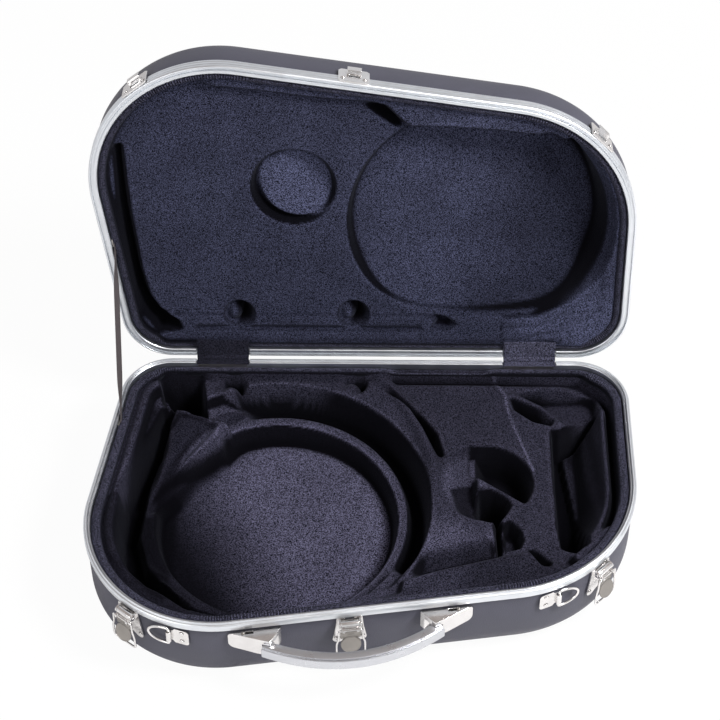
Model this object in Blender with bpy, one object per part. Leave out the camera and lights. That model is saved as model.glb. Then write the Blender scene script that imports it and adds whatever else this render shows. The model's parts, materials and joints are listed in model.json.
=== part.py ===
"""French horn case: a hard shell case standing open on a floor.

The base and the lid are shallow trays with one asymmetric outline. Each has an extruded rim,
a moulded shell and a fitted lining. The rims meet along the hinge line, where two riveted
hinges lie in notches under cloth flaps. Three draw latches, a bowed carrying handle and two
D-rings sit on the front of the base, and three keepers on the lid.

Lengths in this file are in millimetres and become metres when a mesh is made. X runs along
the hinge line to the right, Y to the back and Z up. Z = 0 is the rim plane of the base and
Y = 0 is the back edge of the outline until the last section moves the case to its origin.
"""

import math

import bmesh
import bpy
import numpy as np
from mathutils import Matrix, Vector

MM = 0.001

# Outline of the case: four corners of the rim, joined by straight edges with round corners
BACK_LEFT_X = -259.0
BACK_RIGHT_X = 290.4
FRONT_LEFT_X = -315.8
FRONT_RIGHT_X = 288.7
LEFT_DEPTH = 386.1
RIGHT_DEPTH = 297.4
BACK_LEFT_RADIUS = 55.2
FRONT_LEFT_RADIUS = 139.5
FRONT_RIGHT_RADIUS = 150.8
BACK_RIGHT_RADIUS = 58.4
SMALL_CORNER_STEPS = 6
LARGE_CORNER_STEPS = 14

# Trays
BASE_HEIGHT = 100.0
LID_HEIGHT = 76.0
WALL = 3.0
BASE_EDGE_RADIUS = 34.0
LID_EDGE_RADIUS = 35.0
EDGE_STEPS = 4
LID_OPENING = math.radians(102.3)

# Clearances
GAP = 0.3
RIM_GAP = 0.6

# Rims, with insets measured inwards from the outline
RIM_LEG = 1.5
RIM_WEB = 2.0
BASE_RIM_WIDTH = 6.6
BASE_RIM_DROP = 9.0
LID_RIM_WIDTH = 9.0
LID_RIM_SIDE = 14.0
LID_RIM_INNER = 9.4
LID_RIM_WEB = 3.8
RIM_CHAMFER = 0.7
TONGUE_INSET = 2.0
TONGUE_WIDTH = 2.6
TONGUE_TAPER = 0.7
TONGUE_HEIGHT = 1.8
GROOVE_MARGIN = 0.1
GROOVE_DEPTH = 2.3

# Linings
BORDER_WIDTH = 13.0
BORDER_ROUND = 3.0
BASE_BORDER_Z = -4.0
BASE_BLOCK_Z = -22.0
LID_BORDER_Z = 3.6
LID_PANEL_Z = 18.6
POCKET_MARGIN = 13.0

# Hinges and the cloth flaps over them
HINGE_CENTRES_X = {"left": -156.8, "right": 183.5}
FLAP_WIDTH = 57.5
NOTCH_MARGIN = 1.0
NOTCH_DEPTH = 3.0
AXIS_BEHIND = 1.5
AXIS_Z = 0.3
PIN_RADIUS = 1.0
PIN_PLAY = 0.15
KNUCKLE_RADIUS = 2.0
LEAF = 1.2
LEAF_WIDTH = 54.0
LEAF_LEG = 11.0
FLAP = 1.2
FLAP_ON_LID = 21.0
FLAP_ON_BASE = 8.5

# Rivets
SHANK_RADIUS = 1.2
HEAD_RADIUS = 2.6
HEAD_HEIGHT = 1.2
TAIL_RADIUS = 2.3
TAIL_HEIGHT = 0.9
RIVET_SIDES = 8

# Latches
PLATE = 1.5
PLATE_HALF_WIDTH = 17.5
PLATE_TOP_Z = -9.4
PLATE_BOTTOM_Z = -50.0
LATCH_RIVET_S = 13.6
LATCH_RIVET_Z = -43.5
LATCH_AXIS_OUT = 4.6
LATCH_AXIS_Z = -14.0
BARREL_RADIUS = 3.8
BARREL_HALF = 9.1
LATCH_PIN_RADIUS = 1.5
EAR = 1.6
LEVER_HALF = 10.4
LEVER = 1.6
LEVER_FLAT_Z = -33.0
THUMB_RADIUS = 10.5
THUMB_TILT = math.radians(20.0)
WIRE_RADIUS = 1.1
BAIL_HALF = 14.6
BAIL_AXIS_Z = -17.8
BAIL_LENGTH = 39.0
LUG_WIDTH = 2.6

# Keepers
KEEPER_HALF = 16.2
KEEPER_BOTTOM_Z = 0.9
KEEPER_TOP_Z = 27.0
KEEPER_RIVET_S = 11.5
KEEPER_RIVET_Z = 9.0
HOOK_HALF = 7.4
HOOK_RISE = 6.0

# Handle
HANDLE_X = -10.0
HANDLE_HALF = 125.0
BRACKET_TOP_Z = -12.0
BRACKET_BOTTOM_Z = -37.0
NOSE_S = 84.0
NOSE_OUT = 17.0
FOOT_S = 71.0
SLIDE_PIN_RADIUS = 1.1
SLIDE_PIN_S = 109.5
SLIDE_PIN_OUT = 2.7
PIN_TRAVEL = 9.0
SLOT_PLAY = 0.4
BRACKET_LIP = 0.8
GRIP_TRAVEL = 4.0
GRIP_RISE = 33.0
GRIP_CURVE = 0.0031
GRIP_THICK = 12.0
GRIP_TOP_Z = -20.0
GRIP_BOTTOM_Z = -35.0
GRIP_END_S = 90.0
TONGUE_END_S = 94.0

# D-rings
RING_WIRE = 1.5
RING_HEIGHT = 25.0
RING_REACH = 22.0
RING_TOP_Z = -10.0
CLIP_WIDTH = 21.0
CLIP = 1.2
CLIP_BARREL_HALF = 8.0

# Stay strap
STRAP_BASE_Y = -90.0
STRAP_LID_Y = -144.0
STRAP_BASE_Z = -6.4
STRAP_LID_Z = 6.4
STRAP_WIDTH = 6.0
STRAP = 0.8
STRAP_GAP = 1.0
ANCHOR = 1.2
ANCHOR_HALF = 4.5
ANCHOR_RISE = 2.9
STRAP_TAIL = 3.0
STRAP_POCKET_DEPTH = 7.0
STRAP_POCKET_REACH = 16.0


for left_over in list(bpy.data.objects):
    bpy.data.objects.remove(left_over)


# Materials

def material(name, colour, roughness, metallic):
    made = bpy.data.materials.new(name)
    made.use_nodes = True
    shader = made.node_tree.nodes["Principled BSDF"]
    shader.inputs["Base Color"].default_value = (*colour, 1.0)
    shader.inputs["Roughness"].default_value = roughness
    shader.inputs["Metallic"].default_value = metallic
    return made


FINISHES = {
    "shell": ((0.09, 0.09, 0.11), 0.6, 0.0),
    "rim": ((0.72, 0.72, 0.74), 0.35, 1.0),
    "plush": ((0.012, 0.012, 0.02), 0.95, 0.0),
    "nickel": ((0.75, 0.73, 0.70), 0.2, 1.0),
    "grip": ((0.70, 0.70, 0.70), 0.3, 1.0),
    "cloth": ((0.02, 0.015, 0.015), 0.9, 0.0),
}


# Meshes

def new_object(name, vertices, faces, finish, parent, location=(0.0, 0.0, 0.0), turn=0.0):
    """Make one object from points in millimetres, in its parent's frame."""
    mesh = bpy.data.meshes.new(name)
    mesh.from_pydata([tuple(float(c) * MM for c in v) for v in vertices], [], faces)
    shape = bmesh.new()
    shape.from_mesh(mesh)
    bmesh.ops.recalc_face_normals(shape, faces=shape.faces)
    shape.to_mesh(mesh)
    shape.free()
    made = bpy.data.objects.new(name, mesh)
    bpy.context.collection.objects.link(made)
    if finish:
        mesh.materials.append(material(name, *FINISHES[finish]))
        mesh.shade_smooth()
        mesh.set_sharp_from_angle(angle=math.radians(35.0))
    else:
        made.hide_render = True
        made.display_type = "WIRE"
    made.parent = parent
    made.location = Vector(location) * MM
    made.rotation_euler = (0.0, 0.0, turn)
    return made


def new_empty(name, parent=None, location=(0.0, 0.0, 0.0), rotation=(0.0, 0.0, 0.0)):
    made = bpy.data.objects.new(name, None)
    bpy.context.collection.objects.link(made)
    made.parent = parent
    made.location = Vector(location) * MM
    made.rotation_euler = rotation
    return made


def ring_faces(rings, points, closed_rings):
    """Quads between rings of points, each ring a closed loop; the rings may close up too."""
    faces = []
    for i in range(rings if closed_rings else rings - 1):
        j = (i + 1) % rings
        for k in range(points):
            m = (k + 1) % points
            faces.append((i * points + k, i * points + m, j * points + m, j * points + k))
    return faces


def capped(rings, points):
    """A tube of rings with a flat face on its first and last ring."""
    faces = ring_faces(rings, points, False)
    faces.append(tuple(range(points)))
    faces.append(tuple(range((rings - 1) * points, rings * points)))
    return faces


def prism(outline_2d, low, high, axis="z"):
    """Points and faces of a polygon carried along one axis.

    The polygon's two numbers are x and y for axis z, x and z for axis y, y and z for axis x.
    """
    lift = {"z": lambda a, b, c: (a, b, c),
            "y": lambda a, b, c: (a, c, b),
            "x": lambda a, b, c: (c, a, b)}[axis]
    vertices = [lift(a, b, c) for c in (low, high) for a, b in outline_2d]
    return vertices, capped(2, len(outline_2d))


def box(x, y, z):
    """Points and faces of a box between two numbers on each axis."""
    corners = ((x[0], y[0]), (x[1], y[0]), (x[1], y[1]), (x[0], y[1]))
    return prism(corners, z[0], z[1])


def arc(centre, radius, start, end, steps):
    """Points along an arc, with angles in degrees."""
    angles = np.radians(np.linspace(start, end, steps + 1))
    return [(centre[0] + radius * math.cos(a), centre[1] + radius * math.sin(a)) for a in angles]


def turned(profile, sides, axis="y"):
    """A profile of (radius, height) turned about an axis, closed by a flat face at each end."""
    angles = np.linspace(0.0, 2.0 * math.pi, sides, endpoint=False)
    lift = {"z": lambda a, b, c: (a, b, c),
            "y": lambda a, b, c: (a, c, b),
            "x": lambda a, b, c: (c, a, b)}[axis]
    vertices = [lift(r * math.cos(a), r * math.sin(a), h) for r, h in profile for a in angles]
    return vertices, capped(len(profile), sides)


def rod(radius, low, high, sides=14, axis="x"):
    return turned(((radius, low), (radius, high)), sides, axis)


def moved(shape, offset):
    vertices, faces = shape
    return [tuple(np.add(v, offset)) for v in vertices], faces


def wire_loop(path, radius, sides=6):
    """A round wire along a closed flat path of (x, z) points, in the plane y = 0."""
    points = np.array(path, dtype=float)
    ahead = np.roll(points, -1, axis=0) - points
    ahead /= np.linalg.norm(ahead, axis=1)[:, None]
    along = ahead + np.roll(ahead, 1, axis=0)
    along /= np.linalg.norm(along, axis=1)[:, None]
    across = np.stack((along[:, 1], -along[:, 0]), axis=1)
    stretch = 1.0 / np.sum(across * np.stack((ahead[:, 1], -ahead[:, 0]), axis=1), axis=1)
    vertices = []
    for point, side, wide in zip(points, across, stretch):
        for a in np.linspace(0.0, 2.0 * math.pi, sides, endpoint=False):
            reach = radius * math.cos(a) * wide
            vertices.append((point[0] + side[0] * reach, radius * math.sin(a),
                             point[1] + side[1] * reach))
    return vertices, ring_faces(len(points), sides, True)


def combine(target, other, operation):
    """Join, cut or trim one object by another."""
    step = target.modifiers.new(operation.lower(), "BOOLEAN")
    step.operation = operation
    step.solver = "EXACT"
    step.object = other


def cutter(name, shape, parent, location=(0.0, 0.0, 0.0), turn=0.0):
    return new_object("cut_" + name, *shape, None, parent, location, turn)


# Outline of the case

CORNERS = np.array(((BACK_LEFT_X, 0.0), (FRONT_LEFT_X, -LEFT_DEPTH),
                    (FRONT_RIGHT_X, -RIGHT_DEPTH), (BACK_RIGHT_X, 0.0)))
CORNER_RADII = (BACK_LEFT_RADIUS, FRONT_LEFT_RADIUS, FRONT_RIGHT_RADIUS, BACK_RIGHT_RADIUS)
CORNER_STEPS = (SMALL_CORNER_STEPS, LARGE_CORNER_STEPS, LARGE_CORNER_STEPS, SMALL_CORNER_STEPS)


def edge_normal(start, end):
    """Outward normal of an edge of the outline, which runs anticlockwise from above."""
    along = (end - start) / np.linalg.norm(end - start)
    return np.array((along[1], -along[0]))


def corner_arcs():
    """Centre, radius and first and last angle of each round corner."""
    arcs = []
    for i, radius in enumerate(CORNER_RADII):
        before = edge_normal(CORNERS[i - 1], CORNERS[i])
        after = edge_normal(CORNERS[i], CORNERS[(i + 1) % 4])
        middle = (before + after) / np.linalg.norm(before + after)
        centre = CORNERS[i] - middle * radius / float(np.dot(middle, before))
        first = math.atan2(before[1], before[0])
        turn = math.atan2(before[0] * after[1] - before[1] * after[0], float(np.dot(before, after)))
        arcs.append((centre, radius, first, first + turn))
    return arcs


CORNER_ARCS = corner_arcs()


def outline(inset):
    """Points of the outline moved inwards by inset; the corner centres stay where they are."""
    points = []
    for (centre, radius, first, last), steps in zip(CORNER_ARCS, CORNER_STEPS):
        for angle in np.linspace(first, last, steps + 1):
            points.append(centre + (radius - inset) * np.array((math.cos(angle), math.sin(angle))))
    return np.array(points)


def swept(profile):
    """Rings of points round the outline, one ring for each (inset, z) of a profile."""
    rings = []
    for inset, z in profile:
        rings.extend((x, y, z) for x, y in outline(inset))
    return rings, len(rings) // len(profile)


def swept_ring(profile):
    """A closed profile carried round the outline."""
    vertices, points = swept(profile)
    return vertices, ring_faces(len(profile), points, True)


def swept_tray(profile):
    """An open profile carried round the outline, with a flat face at each end."""
    vertices, points = swept(profile)
    return vertices, capped(len(profile), points)


def edge_seat(corner, distance):
    """Place on the straight edge after a corner: point and outward direction."""
    start = CORNERS[corner]
    end = CORNERS[(corner + 1) % 4]
    along = (end - start) / np.linalg.norm(end - start)
    return start + along * distance, edge_normal(start, end)


def arc_seat(corner, share):
    """Place on a round corner, with share 0 at its first end and 1 at its last."""
    centre, radius, first, last = CORNER_ARCS[corner]
    angle = first + (last - first) * share
    outward = np.array((math.cos(angle), math.sin(angle)))
    return centre + radius * outward, outward


# Frames: the case, and the lid turned open about the hinge axis

case = new_empty("case_origin")
lid_axis = new_empty("lid_hinge_axis", case, (0.0, AXIS_BEHIND, AXIS_Z), (-LID_OPENING, 0.0, 0.0))
lid = new_empty("lid_frame", lid_axis, (0.0, -AXIS_BEHIND, -AXIS_Z))


def opened(point):
    """Where a point of the closed lid lies with the lid open."""
    turn = Matrix.Rotation(-LID_OPENING, 3, "X")
    axis = Vector((0.0, AXIS_BEHIND, AXIS_Z))
    return axis + turn @ (Vector(point) - axis)


def new_seat(name, place, parent):
    """An empty on the outline whose X runs along the wall and whose -Y points out of the case."""
    (x, y), (nx, ny) = place
    return new_empty(name, parent, (x, y, 0.0), (0.0, 0.0, math.atan2(nx, -ny)))


def front_seat(x):
    """Place on the front edge with the given X."""
    start, end = CORNERS[1], CORNERS[2]
    length = float(np.linalg.norm(end - start))
    return edge_seat(1, (x - start[0]) / (end[0] - start[0]) * length)


def recede(radius, s):
    """How far a round wall falls back from its tangent at distance s; None is a flat wall."""
    return 0.0 if radius is None else radius - math.sqrt(radius * radius - s * s)


# Rims

SHELL_INSET = RIM_LEG + GAP
BASE_SHELL_TOP = -(RIM_WEB + GAP)
LID_SHELL_TOP = RIM_GAP + LID_RIM_WEB + GAP
LID_TOP = RIM_GAP + LID_HEIGHT


def base_rim_profile():
    tongue_end = TONGUE_INSET + TONGUE_WIDTH
    return ((0.0, -BASE_RIM_DROP), (0.0, -RIM_CHAMFER), (RIM_CHAMFER, 0.0), (TONGUE_INSET, 0.0),
            (TONGUE_INSET + TONGUE_TAPER, TONGUE_HEIGHT), (tongue_end - TONGUE_TAPER, TONGUE_HEIGHT),
            (tongue_end, 0.0), (BASE_RIM_WIDTH - RIM_CHAMFER, 0.0), (BASE_RIM_WIDTH, -RIM_CHAMFER),
            (BASE_RIM_WIDTH, -BASE_RIM_DROP), (BASE_RIM_WIDTH - RIM_LEG, -BASE_RIM_DROP),
            (BASE_RIM_WIDTH - RIM_LEG, -RIM_WEB), (RIM_LEG, -RIM_WEB), (RIM_LEG, -BASE_RIM_DROP))


def lid_rim_profile():
    face = RIM_GAP
    groove = (TONGUE_INSET - GROOVE_MARGIN, TONGUE_INSET + TONGUE_WIDTH + GROOVE_MARGIN)
    web = face + LID_RIM_WEB
    return ((0.0, face + LID_RIM_SIDE), (0.0, face + RIM_CHAMFER), (RIM_CHAMFER, face),
            (groove[0], face), (groove[0], face + GROOVE_DEPTH), (groove[1], face + GROOVE_DEPTH),
            (groove[1], face), (LID_RIM_WIDTH - RIM_CHAMFER, face),
            (LID_RIM_WIDTH, face + RIM_CHAMFER), (LID_RIM_WIDTH, face + LID_RIM_INNER),
            (LID_RIM_WIDTH - RIM_LEG, face + LID_RIM_INNER), (LID_RIM_WIDTH - RIM_LEG, web),
            (RIM_LEG, web), (RIM_LEG, face + LID_RIM_SIDE))


base_rim = new_object("base_rim", *swept_ring(base_rim_profile()), "rim", case)
lid_rim = new_object("lid_rim", *swept_ring(lid_rim_profile()), "rim", lid)


# Shells

def shell_profile(height_z, edge_radius, top_z):
    """Outer face from the middle of the tray to the rim, then the inner face back again."""
    side = math.copysign(1.0, height_z)
    centre = (SHELL_INSET + edge_radius, height_z - side * edge_radius)
    outer = arc(centre, edge_radius, 90.0 * side, 180.0 * side, EDGE_STEPS)
    inner = arc(centre, edge_radius - WALL, 180.0 * side, 90.0 * side, EDGE_STEPS)
    return [*outer, (SHELL_INSET, top_z), (SHELL_INSET + WALL, top_z), *inner]


base_shell = new_object("base_shell",
                        *swept_tray(shell_profile(-BASE_HEIGHT, BASE_EDGE_RADIUS, BASE_SHELL_TOP)),
                        "shell", case)
lid_shell = new_object("lid_shell",
                       *swept_tray(shell_profile(LID_TOP, LID_EDGE_RADIUS, LID_SHELL_TOP)),
                       "shell", lid)


# Linings: a block that fills the tray, with a raised border and fitted pockets

def lining_profile(outer_inset, height_z, edge_radius, border_z, block_z):
    side = math.copysign(1.0, height_z)
    floor_z = height_z - side * (WALL + GAP)
    centre_inset = SHELL_INSET + edge_radius
    centre_z = height_z - side * edge_radius
    edge = [(centre_inset + (centre_inset - outer_inset) * math.cos(a),
             centre_z + abs(floor_z - centre_z) * math.sin(a))
            for a in np.radians(np.linspace(90.0 * side, 180.0 * side, EDGE_STEPS + 1))]
    inner = outer_inset + BORDER_WIDTH
    return [*edge, (outer_inset, border_z + side * BORDER_ROUND / 2.0),
            (outer_inset + BORDER_ROUND / 2.0, border_z), (inner, border_z),
            (inner + BORDER_ROUND, border_z + side * BORDER_ROUND), (inner + BORDER_ROUND, block_z)]


BASE_LINING_INSET = BASE_RIM_WIDTH + GAP
LID_LINING_INSET = LID_RIM_WIDTH + GAP
base_lining = new_object("base_lining",
                         *swept_tray(lining_profile(BASE_LINING_INSET, -BASE_HEIGHT,
                                                    BASE_EDGE_RADIUS, BASE_BORDER_Z, BASE_BLOCK_Z)),
                         "plush", case)
lid_lining = new_object("lid_lining",
                        *swept_tray(lining_profile(LID_LINING_INSET, LID_TOP, LID_EDGE_RADIUS,
                                                   LID_BORDER_Z, LID_PANEL_Z)),
                        "plush", lid)

# Pockets for the bell, the valve body, crooks and small things, as (centre, radius, floor)
BASE_ROUND_POCKETS = {
    "bell_throat": ((-93.7, -181.3), 171.0, -50.0),
    "bell_floor": ((-93.7, -181.3), 135.0, -80.0),
    "valve_bowl": ((134.2, -162.6), 49.5, -60.0),
    "mouthpiece": ((-144.4, -30.0), 15.0, -44.0),
    "oil_bottle": ((-9.8, -28.0), 14.0, -46.0),
    "tuner": ((157.0, -229.0), 14.0, -41.0),
}
# The same with straight sides, as (corners, floor)
BASE_STRAIGHT_POCKETS = {
    "leadpipe": (((40, -34), (60, -22), (112, -104), (94, -116)), -57.0),
    "valve_channel": (((121, -200), (147, -198), (157, -256), (130, -262)), -53.0),
    "right_slot": (((156, -48), (252, -12), (236, -180), (238, -239), (211, -250), (203, -246),
                    (206, -112), (209, -83), (171, -80)), -65.0),
    "cloth_pocket": (((-225, -72), (-167, -72), (-167, -5), (-225, -5)), -78.0),
    "front_bowl": (((-36, -325), (60, -335), (150, -305), (198, -279), (174, -247), (85, -292),
                    (3, -314)), -36.0),
}
LID_ROUND_POCKETS = {
    "bell": ((122.3, -171.0), 143.0, 50.6),
    "mute": ((-77.1, -208.0), 46.5, 38.6),
    "left_cup": ((-137.2, -44.0), 17.0, 36.0),
    "right_cup": ((-13.6, -45.5), 17.0, 34.0),
}
LID_STRAIGHT_POCKETS = {
    "side_channel": (((-210, -43), (-234, -75), (-249, -186), (-250, -271), (-330, -271),
                      (-330, -43)), 44.0),
}
POCKET_SIDES = 44
MOUTH = 20.0


def cut_pockets(lining, frame, side, rounds, straights):
    """Cut the pockets from a lining; side is 1 for the base, which opens up, and -1 for the lid."""
    clip = cutter(lining.name + "_clip",
                  swept_tray(((POCKET_MARGIN, -2.0 * BASE_HEIGHT), (POCKET_MARGIN, 2.0 * LID_HEIGHT))),
                  frame)
    shapes = {}
    for name, (centre, radius, floor) in rounds.items():
        low, high = sorted((floor, side * MOUTH))
        shapes[name] = moved(rod(radius, low, high, POCKET_SIDES, "z"), (*centre, 0.0))
    for name, (corners, floor) in straights.items():
        low, high = sorted((floor, side * MOUTH))
        shapes[name] = prism(corners, low, high)
    for name, shape in shapes.items():
        pocket = cutter(name, shape, frame)
        combine(pocket, clip, "INTERSECT")
        combine(lining, pocket, "DIFFERENCE")


cut_pockets(base_lining, case, 1.0, BASE_ROUND_POCKETS, BASE_STRAIGHT_POCKETS)
cut_pockets(lid_lining, lid, -1.0, LID_ROUND_POCKETS, LID_STRAIGHT_POCKETS)


# Hinges, each with two leaves, a pin and a cloth flap

def leaf_shape(name, parent, side, leg_out, knuckles):
    """One hinge leaf: a plate in the notch, a leg down the inside of the rim and its knuckles.

    Side is -1 for the base leaf and 1 for the lid leaf, its mirror image about the axis.
    """
    def mirrored(points):
        return [(y, AXIS_Z + side * (z - AXIS_Z)) for y, z in points]

    floor = AXIS_Z + NOTCH_REACH - GAP
    plate_end = AXIS_BEHIND - KNUCKLE_RADIUS - GAP - RIM_CHAMFER
    plate = mirrored(((plate_end, floor), (plate_end, floor - LEAF), (-leg_out, floor - LEAF),
                      (-leg_out, floor + LEAF_LEG), (-leg_out + LEAF, floor + LEAF_LEG),
                      (-leg_out + LEAF, floor)))
    half = LEAF_WIDTH / 2.0
    leaf = new_object(name, *prism(plate, -half, half, "x"), "nickel", parent)
    sink = 0.1
    tab = (floor - LEAF + sink, floor - sink)
    meet = math.degrees(math.asin((tab[0] - AXIS_Z) / KNUCKLE_RADIUS))
    ring = arc((AXIS_BEHIND, AXIS_Z), KNUCKLE_RADIUS, 90.0, 90.0 - (360.0 - (90.0 - meet)), 10)
    root = plate_end - 4.0 * sink
    knuckle = mirrored([(root, tab[0]), (root, tab[1]), (AXIS_BEHIND, tab[1]), *ring])
    for i, (low, high) in enumerate(knuckles):
        combine(leaf, cutter(f"{name}_knuckle_{i}", prism(knuckle, low, high, "x"), leaf), "UNION")
    bore = moved(rod(PIN_RADIUS + PIN_PLAY, -half - 1.0, half + 1.0), (0, AXIS_BEHIND, AXIS_Z))
    combine(leaf, cutter(f"{name}_bore", bore, leaf), "DIFFERENCE")
    return leaf


MIDDLE_KNUCKLE = 9.0
NOTCH_REACH = NOTCH_DEPTH + RIM_GAP / 2.0
for side_name, hinge_x in HINGE_CENTRES_X.items():
    half = LEAF_WIDTH / 2.0
    outer_knuckles = ((-half, -MIDDLE_KNUCKLE - GAP), (MIDDLE_KNUCKLE + GAP, half))
    inner_knuckle = ((-MIDDLE_KNUCKLE, MIDDLE_KNUCKLE),)
    base_place = new_empty(f"hinge_{side_name}_place", case, (hinge_x, 0.0, 0.0))
    lid_place = new_empty(f"hinge_{side_name}_lid_place", lid, (hinge_x, 0.0, 0.0))
    leaf_shape(f"hinge_{side_name}_base_leaf", base_place, -1.0, BASE_LINING_INSET + LEAF,
               outer_knuckles)
    leaf_shape(f"hinge_{side_name}_lid_leaf", lid_place, 1.0, LID_LINING_INSET + LEAF,
               inner_knuckle)
    pin = rod(PIN_RADIUS, -half, half)
    new_object(f"hinge_{side_name}_pin", *pin, "nickel", base_place, (0, AXIS_BEHIND, AXIS_Z))

    # Notch through both rims and shells, and a pocket in each lining for the leaf's leg
    reach = FLAP_WIDTH / 2.0 + NOTCH_MARGIN
    across = (-LID_LINING_INSET, AXIS_BEHIND + 2.0 * KNUCKLE_RADIUS)
    down = cutter(f"notch_{side_name}_base",
                  box((-reach, reach), across, (AXIS_Z - NOTCH_REACH, 4.0 * NOTCH_REACH)), base_place)
    up = cutter(f"notch_{side_name}_lid",
                box((-reach, reach), across, (-4.0 * NOTCH_REACH, AXIS_Z + NOTCH_REACH)), lid_place)
    for target, notch in ((base_rim, down), (base_shell, down), (lid_rim, up), (lid_shell, up)):
        combine(target, notch, "DIFFERENCE")
    leg_half = half + GAP
    leg_end = NOTCH_REACH + LEAF_LEG
    base_leg = box((-leg_half, leg_half), (-BASE_LINING_INSET - LEAF - GAP, 0.0),
                   (AXIS_Z - leg_end, MOUTH))
    combine(base_lining, cutter(f"leg_{side_name}_base", base_leg, base_place), "DIFFERENCE")
    lid_leg = box((-leg_half, leg_half), (-LID_LINING_INSET - LEAF - GAP, 0.0),
                  (-MOUTH, AXIS_Z + leg_end))
    combine(lid_lining, cutter(f"leg_{side_name}_lid", lid_leg, lid_place), "DIFFERENCE")


def strip(path, thickness):
    """Outline of a strip of even thickness along an open path of 2D points."""
    points = np.array(path, dtype=float)
    ahead = np.diff(points, axis=0)
    ahead /= np.linalg.norm(ahead, axis=1)[:, None]
    along = np.vstack((ahead[:1], ahead[:-1] + ahead[1:], ahead[-1:]))
    along /= np.linalg.norm(along, axis=1)[:, None]
    side = np.stack((-along[:, 1], along[:, 0]), axis=1) * thickness / 2.0
    return [*(points + side), *(points - side)[::-1]]


def flap_path():
    """Middle line of a flap: flat on the base rim, round the knuckles and up the open lid."""
    lies_z = RIM_GAP / 2.0 + FLAP / 2.0
    bend = KNUCKLE_RADIUS + GAP + FLAP / 2.0
    dip = math.degrees(math.asin(lies_z / bend))
    start = (-FLAP_ON_BASE, AXIS_Z - lies_z)
    round_pin = arc((AXIS_BEHIND, AXIS_Z), bend, 180.0 + dip, 180.0 - dip - math.degrees(LID_OPENING), 9)
    end = opened((0.0, -FLAP_ON_LID, AXIS_Z + lies_z))
    return [start, *round_pin, (end.y, end.z)]


for side_name, hinge_x in HINGE_CENTRES_X.items():
    flap = prism(strip(flap_path(), FLAP), -FLAP_WIDTH / 2.0, FLAP_WIDTH / 2.0, "x")
    new_object(f"hinge_flap_{side_name}", *flap, "cloth", case, (hinge_x, 0.0, 0.0))


# Rivets

def rivet(name, parent, x, z, head_out, tail_out):
    """A rivet along Y through the wall of a seat; both places are distances out of the case.

    One driven from outside has a domed head and a tail. One driven from inside, whose tail place
    lies further out than its head, ends as a plain shank in a blind hole.
    """
    grow = HEAD_HEIGHT if head_out > tail_out else -HEAD_HEIGHT
    profile = [(HEAD_RADIUS * 0.55, -(head_out + grow)), (HEAD_RADIUS * 0.9, -(head_out + 0.6 * grow)),
               (HEAD_RADIUS, -head_out), (SHANK_RADIUS, -head_out), (SHANK_RADIUS, -tail_out)]
    if head_out > tail_out:
        profile += [(TAIL_RADIUS, -tail_out), (TAIL_RADIUS, -(tail_out - TAIL_HEIGHT))]
    new_object(name, *turned(profile, RIVET_SIDES), "nickel", parent, (x, 0.0, z))


def rivet_hole(name, parent, x, z, start_out, end_out):
    return cutter(name, moved(rod(SHANK_RADIUS + GAP, -start_out, -end_out, RIVET_SIDES, "y"),
                              (x, 0.0, z)), parent)


# Places of the latches and keepers

LATCH_PLACES = {
    "left": (arc_seat(1, 0.57), FRONT_LEFT_RADIUS),
    "center": (front_seat(-11.4), None),
    "right": (arc_seat(2, 0.455), FRONT_RIGHT_RADIUS),
}
WALL_INSIDE_OUT = -(SHELL_INSET + WALL)
HOLE_START = 3.0
HOLE_END = WALL_INSIDE_OUT - 2.0


def mirrored_outline(right_half):
    """A closed outline from its right half, listed from top to bottom."""
    return [*right_half, *[(-s, z) for s, z in reversed(right_half) if abs(s) > 1e-6]]


def latch_plate_outline():
    lobe = 6.0
    lobe_s = PLATE_HALF_WIDTH - lobe
    lobe_z = PLATE_BOTTOM_Z + lobe
    slot_half = 5.0
    slot_z = PLATE_TOP_Z - 2.4
    shoulder = PLATE_HALF_WIDTH - 4.3
    return mirrored_outline([(slot_half, slot_z), (slot_half, PLATE_TOP_Z), (shoulder, PLATE_TOP_Z),
                             (shoulder + 1.2, LATCH_AXIS_Z - 10.0),
                             *arc((lobe_s, lobe_z), lobe, 20.0, -140.0, 7), (0.0, lobe_z - 1.0)])


def lever_outline():
    neck_z = LATCH_AXIS_Z - BARREL_RADIUS - 1.0
    neck = BARREL_HALF - 0.2
    return mirrored_outline([(neck, LATCH_AXIS_Z + 0.4), (neck, neck_z),
                             (LEVER_HALF, neck_z - 2.0), (LEVER_HALF, LEVER_FLAT_Z + 2.0),
                             (LEVER_HALF - 2.0, LEVER_FLAT_Z)])


BAIL_AXIS_OUT = LATCH_AXIS_OUT + BARREL_RADIUS + GAP + WIRE_RADIUS
LUG_RADIUS = WIRE_RADIUS + GAP + 1.0
LUG_S = BARREL_HALF - LUG_WIDTH / 2.0 - 0.6


def thumb_disc():
    """A round tab that leans out from the lower end of the lever, as points and faces."""
    bend = np.array((0.0, -(LATCH_AXIS_OUT + BARREL_RADIUS - LEVER / 2.0), LEVER_FLAT_Z + 1.0))
    down = np.array((0.0, -math.sin(THUMB_TILT), -math.cos(THUMB_TILT)))
    through = np.array((0.0, -math.cos(THUMB_TILT), math.sin(THUMB_TILT))) * LEVER / 2.0
    centre = bend + down * (THUMB_RADIUS - 1.5)
    angles = np.linspace(0.0, 2.0 * math.pi, 20, endpoint=False)
    ring = [centre + THUMB_RADIUS * (math.cos(a) * np.array((1.0, 0.0, 0.0)) + math.sin(a) * down)
            for a in angles]
    return [*(p - through for p in ring), *(p + through for p in ring)], capped(2, len(ring))


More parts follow.
